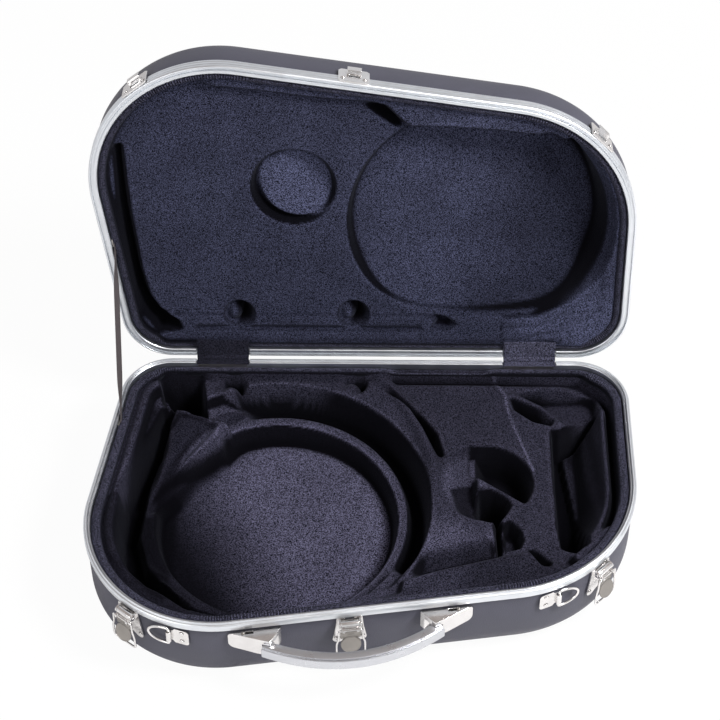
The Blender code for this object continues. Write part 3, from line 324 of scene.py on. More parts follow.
def resampled(path, spacing):
    """Evenly spaced points along a closed path of straight lines."""
    path = np.asarray(path, dtype=float)
    loop = np.vstack((path, path[:1]))
    length = np.append(0.0, np.cumsum(np.linalg.norm(np.diff(loop, axis=0), axis=1)))
    marks = np.linspace(0.0, length[-1], int(length[-1] / spacing), endpoint=False)
    return np.stack([np.interp(marks, length, loop[:, k]) for k in range(loop.shape[1])], axis=1)


print("grid helpers ready")

# %% [markdown]
# ## Shader maths as Python
# A material here is a short formula. The small class below holds one socket of a node tree and
# overloads the operators, so that `rough + 0.1 * noise` adds the Math nodes by itself. Any other
# node comes from one method that takes its type, its settings and its inputs.

# %% Sockets and materials
class Field:
    """One output socket; arithmetic on it adds Math nodes to its tree."""

    def __init__(self, tree, socket):
        self.tree = tree
        self.socket = socket

    def node(self, kind, settings, inputs):
        """A new node in the same tree."""
        return add_node(self.tree, kind, settings, inputs)

    def math(self, operation, *values):
        """A Math node that takes this socket first and the values after it."""
        return self.node("ShaderNodeMath", {"operation": operation}, dict(enumerate((self, *values))))

    def __add__(self, other):
        return self.math("ADD", other)

    def __radd__(self, other):
        return self.math("ADD", other)

    def __sub__(self, other):
        return self.math("SUBTRACT", other)

    def __rsub__(self, other):
        return (self * -1.0) + other

    def __mul__(self, other):
        return self.math("MULTIPLY", other)

    def __rmul__(self, other):
        return self.math("MULTIPLY", other)

    def between(self, low, high, start=0.0, end=1.0):
        """Smoothly from start to end as the value goes from low to high."""
        return self.node("ShaderNodeMapRange", {"interpolation_type": "SMOOTHSTEP", "clamp": True},
                         {"Value": self, "From Min": low, "From Max": high,
                          "To Min": start, "To Max": end})


def add_node(tree, kind, settings=None, inputs=None, output=0):
    """A new node with its settings and inputs, where an input may be a Field; gives one output."""
    made = tree.nodes.new(kind)
    for key, value in (settings or {}).items():
        setattr(made, key, value)
    for key, value in (inputs or {}).items():
        if isinstance(value, Field):
            tree.links.new(value.socket, made.inputs[key])
        else:
            made.inputs[key].default_value = value
    return Field(tree, made.outputs[output])


def mixed(factor, first, second):
    """A colour between two colours or colour fields."""
    inputs = {0: factor}
    for slot, colour in ((6, first), (7, second)):
        inputs[slot] = colour if isinstance(colour, Field) else (*colour, 1.0)
    return add_node(factor.tree, "ShaderNodeMix", {"data_type": "RGBA"}, inputs, 2)


class Finish:
    """A material with a Principled shader, its object coordinates and its helpers."""

    def __init__(self, name, **sockets):
        self.material = bpy.data.materials.new(name)
        self.material.use_nodes = True
        self.tree = self.material.node_tree
        self.shader = self.tree.nodes["Principled BSDF"]
        self.place = add_node(self.tree, "ShaderNodeTexCoord", output=3)
        for socket, value in sockets.items():
            self.set(socket.replace("_", " ").title().replace("Ior", "IOR"), value)

    def set(self, socket, value):
        """Link a field to the shader's socket, or give it a colour or a number."""
        if isinstance(value, Field):
            self.tree.links.new(value.socket, self.shader.inputs[socket])
        elif isinstance(value, tuple):
            self.shader.inputs[socket].default_value = (*value, 1.0)
        else:
            self.shader.inputs[socket].default_value = value

    def noise(self, size, detail, rough=0.5):
        """Noise whose grains are about size metres across."""
        return add_node(self.tree, "ShaderNodeTexNoise", None,
                        {"Vector": self.place, "Scale": 1.0 / size, "Detail": detail, "Roughness": rough})

    def pebbles(self, size):
        """Softened distance to the nearest of many points that lie about size metres apart."""
        return add_node(self.tree, "ShaderNodeTexVoronoi", {"feature": "SMOOTH_F1"},
                        {"Vector": self.place, "Scale": 1.0 / size, "Smoothness": 0.6})

    def attribute(self, name):
        """A number that the mesh stores for each of its points."""
        return add_node(self.tree, "ShaderNodeAttribute", {"attribute_name": name}, output=2)

    def bump(self, height, distance, strength):
        """Relief for the Normal socket; the distance is how high it rises, in metres."""
        relief = add_node(self.tree, "ShaderNodeBump", None,
                          {"Height": height, "Distance": distance, "Strength": strength})
        self.set("Normal", relief)


print("material helpers ready")

# %% [markdown]
# ## Plush
# The lining is a short pile plush, blue-black, glued over foam. Each tuft catches the light by
# itself, so the surface looks salted, and brushed patches are a little lighter or darker. Its
# walls, creases and narrow pockets are painted much darker than its tops, as painted shade, and
# some slopes and a seam are painted lighter, as painted light. The lining's mesh carries that,
# with the cloth's own tones, as an attribute named shade, from 0 in a crease to 1 on top. A very
# little sheen stands for the tips of the pile. Strands of hair could make the pile too, but it
# would take millions of them, so fine noise in the colour and a small bump do it.

# %% Plush finish
# Nearly black: the gaps between tufts, and the painted shade where the shade attribute is 0.
PILE_GAP_AND_SHADE_COLOUR = (0.0006, 0.0005, 0.0014)


def plush_finish(name, light):
    """Plush whose base colour goes from nearly black, in the gaps and the painted shade, to lit tufts, a little
    over light.
    """
    finish = Finish(name, roughness=0.95, sheen_weight=0.035, sheen_roughness=0.5,
                    sheen_tint=(0.70, 0.74, 1.0), specular_ior_level=0.05)
    tufts = finish.noise(0.0016, 2.0, 0.7)
    fibres = finish.noise(0.0008, 1.0, 0.5)
    brushed = finish.noise(0.05, 2.0, 0.5)
    salt = (tufts.between(0.36, 0.64) * 0.95 + fibres.between(0.40, 0.66) * 1.2 - 0.06).math("MAXIMUM", 0.0)
    # The shade attribute paints the lining's light and shade into its base colour.
    amount = salt * (brushed.between(0.3, 0.7) * 0.22 + 0.89) * 0.42 * finish.attribute("shade")
    finish.set("Base Color", mixed(amount, PILE_GAP_AND_SHADE_COLOUR, tuple(2.2 * c for c in light)))
    finish.bump(tufts * 0.7 + fibres * 0.3, 0.0009, 0.7)
    return finish.material


PLUSH = plush_finish("lining_plush", (0.072, 0.070, 0.112))
LID_PLUSH = plush_finish("lid_plush", (0.068, 0.074, 0.130))
BORDER_PLUSH = plush_finish("border_plush", (0.068, 0.068, 0.105))
FLAP_PLUSH = plush_finish("hinge_flap_plush", (0.066, 0.066, 0.103))
print("a fold's colour is", PILE_GAP_AND_SHADE_COLOUR)

# %% [markdown]
# ## Shell, rims and metal fittings
# The shell is moulded plastic with a fine pebble grain, matt enough to hide fingerprints. The
# rims are satin aluminium extrusions. The fittings are polished nickel with fine marks, the thumb
# discs are darker, and the grip is satin. The handle's pins take the discs' dark finish as painted
# shade. The stay strap is a dark brown woven ribbon.

# %% Hard finishes
def shell_finish():
    """Two dark tones mixed by wear and pebbles; the wear is rougher and the pebbles stand up."""
    finish = Finish("shell_pebble", specular_ior_level=0.4)
    grain = finish.pebbles(0.0011)
    wear = finish.noise(0.035, 4.0, 0.6)
    finish.set("Base Color", mixed(wear.between(0.35, 0.7) * 0.6 + grain * 0.4,
                                   (0.054, 0.054, 0.073), (0.071, 0.071, 0.094)))
    finish.set("Roughness", wear.between(0.3, 0.75, 0.46, 0.62))
    finish.bump(grain, 0.00025, 0.6)
    return finish.material


def metal_finish(name, colour, darker, rough, size=0.004, relief=0.00002):
    """Metal with a slow change of tone and fine marks of a size, in metres, that rise by relief."""
    finish = Finish(name, metallic=1.0)
    marks = finish.noise(size, 4.0, 0.6)
    tone = finish.noise(0.02, 2.0, 0.5)
    finish.set("Base Color", mixed(tone.between(0.35, 0.7) * 0.7 + marks * 0.3, colour, darker))
    finish.set("Roughness", marks.between(0.3, 0.7, rough - 0.04, rough + 0.05))
    if relief:
        finish.bump(marks, relief, 0.5)
    return finish.material


SHELL = shell_finish()
ALUMINIUM = metal_finish("rim_aluminium", (0.73, 0.755, 0.785), (0.67, 0.695, 0.725), 0.36,
                         size=0.03, relief=0.0)
NICKEL = metal_finish("polished_nickel", (0.79, 0.775, 0.765), (0.68, 0.665, 0.655), 0.20)
WORN_NICKEL = metal_finish("worn_nickel", (0.50, 0.475, 0.45), (0.42, 0.40, 0.38), 0.32, size=0.0015)
GRIP = metal_finish("satin_grip", (0.60, 0.61, 0.64), (0.56, 0.57, 0.60), 0.30, size=0.02, relief=0.0)
# The thumb discs' darker nickel, which the handle's pins also take as painted shade.
DISC_AND_PIN_SHADE = metal_finish("thumb_disc_and_pin_shade_nickel", (0.31, 0.29, 0.268), (0.26, 0.245, 0.228), 0.35, size=0.0015)


RIB_STEP, WEFT_STEP = 0.9, 0.7


def ribbon_finish():
    """Ribs along the ribbon crossed by finer weft, from the mesh's own millimetres."""
    finish = Finish("strap_ribbon", roughness=0.75, sheen_weight=0.15, sheen_roughness=0.4)
    warp = (finish.attribute("across") * (2.0 * math.pi / RIB_STEP)).math("SINE") * 0.5 + 0.5
    weft = (finish.attribute("along") * (2.0 * math.pi / WEFT_STEP)).math("SINE") * 0.5 + 0.5
    weave = warp * 0.6 + weft * 0.4
    finish.set("Base Color", mixed(weave, (0.024, 0.018, 0.019), (0.066, 0.054, 0.057)))
    finish.bump(weave, 0.0002, 0.8)
    return finish.material


RIBBON = ribbon_finish()
print("finishes:", len(bpy.data.materials))

# %% [markdown]
# ## Shells
# Each shell is one wall of even thickness. Its profile runs from the middle of the tray out over
# the rounded edge and up the side, then back down the inner face, and is carried round the
# outline. The middle is closed by shrinking the last ring towards the tray's centre. Where the
# hinges sit, the top edge is pressed down to the floor of the notch. A box with bevelled corners
# would be quicker, but all four corners differ, and this way every piece shares one outline.

# %% Shells
WALL = 3.0
SHELL_INSET = 1.8
NOTCH_Z = 3.0
TRAY_CENTRE = np.array((-3.0, -178.0))


def notched(grid, limit):
    """Press an edge down to limit at the back, between the ends of either hinge notch."""
    side = math.copysign(1.0, limit)
    hit = np.zeros(grid.shape[:-1], dtype=bool)
    for x in HINGE_X.values():
        hit |= (np.abs(grid[..., 0] - x) < NOTCH_HALF) & (grid[..., 1] > -40.0)
    grid[..., 2] = np.where(hit & (side * grid[..., 2] < side * limit), limit, grid[..., 2])
    return grid


def tray_wall(side, height_z, edge_radius, top_z):
    """Rings of a tray: the outer face from its middle to the top edge, and the inner face back."""
    centre = (SHELL_INSET + edge_radius, height_z - side * edge_radius)
    outer = arc(centre, edge_radius, 90.0 * side, 180.0 * side, 14)
    inner = arc(centre, edge_radius - WALL, 180.0 * side, 90.0 * side, 14)
    lip = [(SHELL_INSET, top_z + side * 0.4), (SHELL_INSET + 0.4, top_z),
           (SHELL_INSET + WALL - 0.4, top_z), (SHELL_INSET + WALL, top_z + side * 0.4)]
    wall = notched(swept(np.vstack((outer, lip, inner))), side * NOTCH_Z)

    def closed_in(ring):
        """Rings from the tray's middle outwards, each a share of the given ring."""
        shares = np.array((0.0, 0.25, 0.5, 0.75))[:, None, None]
        middle = np.array((*TRAY_CENTRE, ring[0, 2]))
        return middle + shares * (ring[None] - middle)
    return np.concatenate((closed_in(wall[0]), wall, closed_in(wall[-1])[::-1]))


SHELLS = {"base": (-100.0, 34.0, -2.3), "lid": (76.6, 35.0, 4.7)}
for body, (height_z, edge_radius, top_z) in SHELLS.items():
    wall = tray_wall(SIDE[body], height_z, edge_radius, top_z)
    make(f"{body}_shell_skin", [(MOUNT[body](wall), True, False)], SHELL, body,
         [f"{body}_shell"], sharp=50.0)
print("shell rings:", wall.shape[0], "by", wall.shape[1])

# %% [markdown]
# ## Rims
# The rims are extrusions. The base's has a tongue on its face and the lid's has the groove that
# takes it. The lid rim's outer side carries three rounded ribs, which show as bright and dark
# lines round the case. Both profiles have small round edges, because a sharp edge catches no
# light. A curve with a bevel could carry them too, but in an array the hinge notches can be
# pressed into them.

# %% Rims
def rounded(corners, radius):
    """Round each corner of a closed profile with a short curve of four points."""
    corners = np.asarray(corners, dtype=float)
    before = np.roll(corners, 1, axis=0) - corners
    after = np.roll(corners, -1, axis=0) - corners
    reach = np.minimum(radius, 0.42 * np.minimum(np.linalg.norm(before, axis=1),
                                                 np.linalg.norm(after, axis=1)))[:, None]
    first = corners + before / np.linalg.norm(before, axis=1)[:, None] * reach
    last = corners + after / np.linalg.norm(after, axis=1)[:, None] * reach
    t = np.linspace(0.0, 1.0, 4)[None, :, None]
    curve = (1 - t) ** 2 * first[:, None] + 2 * t * (1 - t) * corners[:, None] + t ** 2 * last[:, None]
    return curve.reshape(-1, 2)


BASE_RIM = ((0.0, -9.0), (0.0, -5.6), (-0.35, -5.2), (-0.35, -1.0), (0.9, 0.0), (2.0, 0.0),
            (2.7, 1.8), (3.9, 1.8), (4.6, 0.0), (5.9, 0.0), (6.6, -0.7), (6.6, -9.0), (5.1, -9.0),
            (5.1, -2.0), (1.5, -2.0), (1.5, -9.0))
RIB = ((0.0, 14.6), (-0.45, 14.0), (-0.45, 11.6), (0.0, 11.0), (0.0, 10.2), (-0.45, 9.6),
       (-0.45, 6.4), (0.0, 5.8), (0.0, 5.0), (-0.45, 4.4), (-0.45, 1.9))
LID_RIM = (*RIB, (0.9, 0.6), (1.9, 0.6), (1.9, 2.9), (4.7, 2.9), (4.7, 0.6), (8.2, 0.6),
           (9.0, 1.4), (9.0, 10.0), (7.5, 10.0), (7.5, 4.4), (1.5, 4.4), (1.5, 14.6))


RIM_EDGE_RADIUS = 0.45
for body, profile, limit in (("base", BASE_RIM, -NOTCH_Z), ("lid", LID_RIM, NOTCH_Z + 0.3)):
    ring = notched(swept(rounded(profile, RIM_EDGE_RADIUS)), limit)
    make(f"{body}_rim_extrusion", [(MOUNT[body](ring), True, True)], ALUMINIUM, body,
         [f"{body}_rim"], sharp=32.0)
print("rims swept")

# %% [markdown]
# ## The linings as height fields
# A fitted lining is a landscape: for every place in the tray it has one depth below the rim.
# The functions below build that landscape from a few kinds of step. A sink lowers everything
# inside a shape to a floor over a wall of given width, a level also raises it, a bar is a rounded
# ridge along a line, a cup is a round dent with a dome left in it, and a stripe follows a crease
# or a hem. Depths are in millimetres below the rim's face, and the shapes follow the horn: its
# bell, its leadpipe, its valves and its slides. Boxes and cylinders cut out of a block would
# leave hard walls, and pressed foam has soft ones, so the depths are worked out as numbers.

# %% Distances and steps
def smooth(value, low, high):
    """0 at low, 1 at high, and t squared times (3 - 2 t) at a share t of the way."""
    t = np.clip((value - low) / (high - low), 0.0, 1.0)
    return t * t * (3.0 - 2.0 * t)


def to_line(x, y, corners):
    """Distance to an open line of corners, and how far along it the nearest place lies."""
    best = np.full(x.shape, 1e9)
    along = np.zeros(x.shape)
    travelled = 0.0
    for (ax, ay), (bx, by) in zip(corners[:-1], corners[1:]):
        length = math.hypot(bx - ax, by - ay)
        ux, uy = (bx - ax) / length, (by - ay) / length
        t = np.clip((x - ax) * ux + (y - ay) * uy, 0.0, length)
        d = np.hypot(x - ax - t * ux, y - ay - t * uy)
        nearer = d < best
        best = np.where(nearer, d, best)
        along = np.where(nearer, travelled + t, along)
        travelled += length
    return best, along / travelled


def stripe(distance, width):
    """1 on a line, fading to nothing about two widths away."""
    return np.exp(-(distance / width) ** 2)


def striped(x, y, corners, width):
    """A stripe along an open line of corners."""
    return stripe(to_line(x, y, corners)[0], width)


def in_polygon(x, y, corners):
    """Distance to the polygon's edge, positive inside and negative outside."""
    inside = np.zeros(x.shape, dtype=bool)
    for (ax, ay), (bx, by) in zip(corners, (*corners[1:], corners[0])):
        crosses = (ay > y) != (by > y)
        with np.errstate(divide="ignore", invalid="ignore"):
            at = (bx - ax) * (y - ay) / (by - ay) + ax
        inside ^= crosses & (x < at)
    distance = to_line(x, y, (*corners, corners[0]))[0]
    return np.where(inside, distance, -distance)


def in_circle(x, y, centre, radius):
    """Distance to the circle, positive inside: its radius minus the distance from its centre."""
    return radius - np.hypot(x - centre[0], y - centre[1])


def sink(depth, inside, floor, wall):
    """Lower to the floor inside a shape; the wall lies just inside its edge."""
    return depth + (np.maximum(depth, floor) - depth) * smooth(inside, 0.0, wall)


def level(depth, inside, floor, wall):
    """Bring everything inside a shape to the floor, up or down."""
    return depth + (floor - depth) * smooth(inside, 0.0, wall)


def bar(depth, distance, top, half, foot):
    """Raise a rounded bar whose crest is at top, half wide each side, with sloping feet."""
    crest = top + 2.5 * np.clip(distance / half, 0.0, 1.0) ** 2
    raised = crest + (depth - crest) * smooth(distance, half, half + foot)
    return np.where(distance < half + foot, np.minimum(depth, raised), depth)


def cup(depth, dx, dy, radius, floor, dome, top):
    """Press a round dent and leave a dome in it; dome is the distance from its crest as a share."""
    depth = np.maximum(depth, floor * np.sqrt(np.clip(1.0 - (np.hypot(dx, dy) / radius) ** 2, 0.0, 1.0)))
    return np.where(dome < 1.0, np.minimum(depth, top + 12.0 * dome ** 2), depth)


def inset_of(x, y):
    """Distance inwards from the outline: the least distance to its straight edges and corners."""
    flat = np.stack([np.einsum("...k,k->...", np.stack((x - CORNERS[i, 0], y - CORNERS[i, 1]), -1),
                               -outward(edge_direction(i))) for i in range(4)])
    inset = flat.min(axis=0)
    for i in range(4):
        centre, first, turn = corner_arc(i)
        angle = np.arctan2(y - centre[1], x - centre[0])
        share = np.mod(angle - first, 2.0 * math.pi) / turn
        inset = np.where(share < 1.0, in_circle(x, y, centre, CORNER_RADII[i]), inset)
    return inset


print("depth of the tray's middle inside the outline:", float(inset_of(*TRAY_CENTRE[:, None])[0].round(1)))

# %% [markdown]
# ## Shapes of the base's pockets
# The bell lies at the left: a flat floor 78 deep, a terrace for its rim at 51, and a trough for
# the first branch outside that. The block at the right is 21 deep and holds the valves in a
# round pocket, with slots for the slides beside it. Two cups for a mouthpiece and a bottle lie
# at the back. Shapes that aren't round are given by their corners in drawing millimetres. The
# shapes named cloth are where the cloth is coloured darker, and they follow their pockets loosely.

# %% Places in the base's lining
BELL = (-92.0, -185.0)
BELL_FLOOR_RADIUS, TERRACE_RADIUS, TROUGH_RADIUS = 130.0, 141.0, 165.0
KEYS = (133.0, -156.0)
KEYS_RADIUS = 50.0
BLOCK_TOP, TERRACE_DEPTH, BELL_FLOOR = 21.0, 51.0, 78.0
CUPS = {"base": ((-144.4, -23.0), (-10.0, -17.0)), "lid": ((-138.0, -45.0), (-12.0, -46.0))}
BASE = {
    "seam": ((133, 11), (157, -34), (159, -56), (166, -84), (175, -113), (183, -140), (186, -175),
             (195, -195), (203, -214), (206, -240)),
    "shelf": ((161, -26), (196, -48), (210, -64), (222, -76), (262, -60), (262, -22)),
    "nook": ((161, -33), (196, -53), (211, -64), (207, -76), (186, -70), (166, -53)),
    "slot": ((205, -80), (213, -83), (258, -50), (262, -150), (259, -216), (240, -250), (217, -247),
             (208, -243), (205, -219), (205, -179), (204, -139)),
    "side slope": ((218, -92), (250, -70), (262, -58), (277, -52), (275, -235), (244, -262), (236, -250)),
    "key side": ((92, -166), (112, -152), (119, -152), (118, -170), (128, -188), (141, -212), (124, -207),
                 (103, -198)),
    "key side cloth": ((92, -164), (115, -149), (126, -166), (118, -186), (132, -203), (122, -208),
                       (100, -196)),
    "key well": ((124, -166), (140, -168), (154, -178), (158, -188), (150, -202), (142, -212),
                 (132, -202), (118, -186)),
    "key ridge": ((117, -145), (140, -161), (163, -178)),
    "key channel": ((139, -208), (147, -209), (150, -250), (140, -252)),
    "key corner": ((146, -214), (156, -207), (167, -219), (170, -233), (166, -244), (146, -250)),
    "hollow": ((40, -290), (58, -246), (84, -222), (131, -209), (146, -238), (150, -255), (127, -261),
               (81, -274)),
    "hollow edge": ((30, -292), (81, -274), (127, -261), (150, -255)),
    "hollow back": ((72, -236), (104, -226), (134, -232)),
    "hollow fold": ((58, -277), (92, -266), (132, -255)),
    "left channel": ((-212, -52), (-220, -50), (-242, -115), (-257, -170), (-258, -211), (-254, -250),
                     (-240, -277), (-220, -296), (-190, -312), (-150, -322), (-110, -326), (-112, -318),
                     (-150, -312), (-188, -296), (-224, -254), (-236, -211), (-233, -176), (-230, -142),
                     (-219, -100), (-204, -48)),
    "plateau": ((-207, -54), (-150, -66), (-152, -88), (-196, -128), (-228, -170), (-233, -160),
                (-221, -104)),
    "plateau cloth": ((-207, -54), (-168, -62), (-194, -106), (-228, -170), (-236, -165), (-221, -104)),
    "plateau crease": ((-168, -72), (-196, -108), (-212, -140), (-226, -172)),
    "cloth pocket": ((-228, -14), (-180, -10), (-172, -62), (-221, -50)),
    "cloth hem": ((-222, -53), (-200, -57), (-172, -66), (-150, -70)),
    "branch ridge": ((10, 0), (28, -22), (44, -47), (62, -84), (74, -126), (80, -172), (81, -190)),
    "branch slot": ((17, -21), (27, -26), (42, -40), (62, -62), (80, -88), (88, -122), (81, -121),
                    (64, -80), (52, -58), (40, -44), (29, -34)),
    "front block": ((-40, -340), (-37, -322), (-16, -323), (38, -304), (40, -288), (81, -274), (127, -261),
                    (164, -252), (173, -249), (200, -262), (240, -300), (150, -345)),
    "front block cloth": ((-40, -340), (38, -304), (81, -274), (127, -261), (173, -249), (240, -300),
                          (150, -345)),
    "front ledge": ((-37, -316), (-22, -311), (14, -291), (41, -286), (39, -304), (-16, -323)),
    "front recess": ((170, -246), (181, -247), (197, -262), (196, -272), (186, -270)),
    "front wedge": ((212, -262), (224, -274), (262, -232), (266, -214), (252, -220), (232, -242)),
}


def from_bell(x, y):
    """Distance from the bell's middle and the direction from it in degrees."""
    dx, dy = x - BELL[0], y - BELL[1]
    return np.hypot(dx, dy), np.degrees(np.arctan2(dy, dx))


def sunk(depth, x, y, shapes, pockets):
    """Sink several named shapes, each to its own floor over its own wall."""
    for name, floor, wall in pockets:
        depth = sink(depth, in_polygon(x, y, shapes[name]), floor, wall)
    return depth


print("named shapes in the base:", len(BASE))

# %% Depths of the base's lining
def right_end(depth, x, y, inset):
    """Right of the block: a piece 1 mm lower, its seam, the shelf and the long slot."""
    seam = BASE["seam"]
    lower = in_polygon(x, y, (*seam, (210, -330), (330, -330), (330, 11)))
    depth = depth + 1.2 * smooth(lower, -1.0, 1.0) - 1.6 * striped(x, y, seam, 1.6)
    depth = sunk(depth, x, y, BASE, (("shelf", 40.0, 9.0), ("nook", 56.0, 7.0), ("slot", 72.0, 6.0)))
    rise = 11.0 + 50.0 * np.clip((inset - 31.0) / 26.0, 0.0, 1.0)
    depth = np.where(in_polygon(x, y, BASE["side slope"]) > 0.0, np.minimum(depth, rise), depth)
    groove = smooth(inset, 15.0, 18.0) * smooth(inset, 27.0, 22.0)
    return depth + (30.0 - depth) * groove * smooth(x, 215.0, 245.0) * smooth(y, -262.0, -240.0)


def back_steps(depth, x, y):
    """Step lines between the block and the back edge."""
    step = 9.0 * smooth(y, -20.0, -12.0) * smooth(x, 24.0, 30.0)
    depth = np.where((x > 27.0) & (x < 262.0), depth + step, depth)
    return depth + 1.6 * stripe(y + 25.0, 1.6) * smooth(x, 150.0, 160.0)


def valve_pocket(depth, x, y):
    """A slope comes down from the left to a diagonal ridge; the rest is deep."""
    keys = in_circle(x, y, KEYS, KEYS_RADIUS)
    ramp = BLOCK_TOP + 16.0 * smooth(x, 84.0, 124.0)
    depth = level(depth, np.minimum(keys + 3.0, 124.0 - x), ramp, 8.0)
    beyond = np.minimum(keys, 0.42 * (x - 112.0))
    above = np.minimum(beyond, 0.59 * (x - 119.0) + 0.81 * (y + 147.0))
    depth = sink(depth, above, 64.0, 10.0)
    depth = level(depth, in_polygon(x, y, BASE["key side"]), 30.0 + 14.0 * smooth(x, 98.0, 126.0), 6.0)
    depth = sunk(depth, x, y, BASE, (("key well", 72.0, 5.0),))
    ridge = bar(depth, to_line(x, y, BASE["key ridge"])[0], 31.0, 3.0, 6.0)
    return np.where(keys > -3.0, ridge, depth)


def front_pockets(depth, x, y):
    """The channel, the corner and the wide hollow in front of the valves."""
    depth = sunk(depth, x, y, BASE, (("key channel", 50.0, 3.5), ("key corner", 42.0, 5.0)))
    fall = smooth(to_line(x, y, BASE["hollow edge"])[0], 36.0, 4.0)
    hollow = BLOCK_TOP + 22.0 * fall * smooth(x, 44.0, 70.0) * smooth(x, 158.0, 138.0)
    return level(depth, in_polygon(x, y, BASE["hollow"]), np.maximum(hollow, BLOCK_TOP + 0.5), 12.0)


def bell_well(depth, x, y):
    """The trough outside the terrace, the terrace with its lip, and the floor."""
    bell, angle = from_bell(x, y)
    around = np.maximum(smooth(angle, 114.0, 94.0) * smooth(angle, -34.0, -22.0),
                        smooth(np.abs(angle), 138.0, 158.0))
    depth = sink(depth, TROUGH_RADIUS - bell, 34.0 + 36.0 * around, 7.0)
    terrace_at = TERRACE_RADIUS + 14.0 * smooth(np.abs(angle), 140.0, 160.0)
    depth = depth + (TERRACE_DEPTH - depth) * smooth(terrace_at - bell, -6.0, 0.0)
    lip = 3.0 * stripe(bell - terrace_at + 3.0, 4.0) * (1.0 - smooth(-y, 292.0, 302.0))
    depth = np.where(bell < TROUGH_RADIUS, depth - lip, depth)
    wide = 5.0 + 24.0 * smooth(angle, 108.0, 128.0) * smooth(angle, 176.0, 160.0)
    inside = BELL_FLOOR_RADIUS - bell
    return depth + (BELL_FLOOR - depth) * smooth(inside, 0.0, wide) * smooth(inside, 0.0, 1.0)


def left_side(depth, x, y, inset):
    """An inner roll behind a narrow groove, the channel, the plateau and the cloth pocket."""
    inner_roll = smooth(34.0 - inset, 0.0, 3.0) * smooth(x, -188.0, -204.0) * smooth(y, -292.0, -262.0)
    rounded_top = 6.5 + 3.0 * ((inset - 26.0) / 8.0) ** 2 + 6.0 * stripe(inset - 18.0, 1.8)
    depth = depth + (rounded_top - depth) * inner_roll
    depth = sunk(depth, x, y, BASE, (("left channel", 72.0, 5.0),))
    falling = 30.0 + 0.2 * np.maximum(-70.0 - y, 0.0)
    depth = level(depth, in_polygon(x, y, BASE["plateau"]), falling, 8.0)
    depth = depth + 7.0 * striped(x, y, BASE["plateau crease"], 6.0)
    depth = sunk(depth, x, y, BASE, (("cloth pocket", BELL_FLOOR, 5.0),))
    return depth + (24.0 - depth) * striped(x, y, BASE["cloth hem"], 2.2)


def branch_side(depth, x, y):
    """The ridge and the slot between the bell and the block."""
    distance, along = to_line(x, y, BASE["branch ridge"])
    depth = bar(depth, distance, 15.0 + 4.0 * smooth(along, 0.75, 1.0), 4.5, 6.0)
    return sunk(depth, x, y, BASE, (("branch slot", 57.0, 4.5),))


def front_block(depth, x, y):
    """A raised block whose back edge runs down to the bell."""
    depth = level(depth, in_polygon(x, y, BASE["front block"]), 14.0, 4.0)
    depth = level(depth, in_polygon(x, y, BASE["front ledge"]), 25.0, 5.0)
    depth = sunk(depth, x, y, BASE, (("front recess", 34.0, 3.5),))
    return level(depth, in_polygon(x, y, BASE["front wedge"]), 9.0, 5.0)


def base_depth(x, y):
    """The base's depth at each place: every part changes what the parts before it gave."""
    inset = inset_of(x, y)
    depth = right_end(np.full(x.shape, BLOCK_TOP), x, y, inset)
    depth = valve_pocket(back_steps(depth, x, y), x, y)
    depth = bell_well(front_pockets(depth, x, y), x, y)
    depth = branch_side(left_side(depth, x, y, inset), x, y)
    for cx, cy in CUPS["base"]:
        dx, dy = x - cx, y - cy
        depth = cup(depth, dx, dy, 16.5, 44.0, np.hypot(dx + 4.0, dy + 6.0) / 12.0, 20.0)
    return front_block(depth, x, y)


print("bell floor", float(base_depth(np.array(-92.0), np.array(-185.0)).round(1)),
      "block", float(base_depth(np.array(100.0), np.array(-60.0)).round(1)))

# %% [markdown]
# ## The lid's landscape
# The lid's panel is flat, 19 below its rim, with a wide round floor for the bell's side of the
# horn, a mute's pocket, two cups that face those of the base and a deep channel at the left.

# %% Depths of the lid's lining
BELL_SIDE = (122.0, -165.0)
MUTE = (-75.0, -208.0)
LID = {
    "ledge edge": ((-159, -330), (-108, -325), (-67, -319), (-26, -315), (5, -313), (21, -309), (36, -293),
                   (47, -284), (88, -284), (140, -280), (182, -275), (192, -278), (208, -270)),
    "bend pocket": ((-5, -312), (21, -309), (36, -293), (45, -282), (30, -283), (10, -297)),
    "corner slope": ((150, -46), (183, -50), (215, -69), (246, -99), (260, -125), (285, -125), (285, -12),
                     (150, -12)),
    "corner creases": (((150, -30), (195, -34), (232, -58), (258, -92)),
                       ((180, -18), (225, -32), (262, -66))),
    "corner pocket": ((64, -50), (76, -37), (70, -26), (94, -24), (106, -34), (92, -46)),
    "channel": ((-253, -262), (-251, -216), (-249, -178), (-245, -141), (-241, -102), (-234, -69),
                (-224, -52), (-204, -38), (-200, -24), (-227, -20), (-243, -42), (-255, -76), (-262, -140),
                (-266, -191), (-266, -258)),
    "channel bead": ((-252, -262), (-250, -216), (-248, -178), (-244, -141), (-240, -102), (-233, -69),
                     (-223, -52), (-204, -39)),
}


def bell_side(x, y, ledge):
    """How far inside the big round floor a place lies; it is cut straight at the hinge side."""
    circle, softness = in_circle(x, y, BELL_SIDE, 141.0), 14.0
    soft = -softness * np.log(np.exp(-np.clip(circle, -300.0, 300.0) / softness)
                              + np.exp(np.clip(47.0 + y, -300.0, 300.0) / softness))
    return np.minimum(soft, -ledge)


def mute_pocket(depth, x, y):
    """A round pocket with a deeper crescent at its lower left."""
    mute = in_circle(x, y, MUTE, 46.0)
    depth = sink(depth, mute, 24.0 + 8.0 * smooth(-y, 165.0, 225.0), 7.0)
    crescent = np.minimum(mute, -in_circle(x, y, (-69.0, -212.0), 42.0))
    return sink(depth, crescent, 34.0, 4.0)


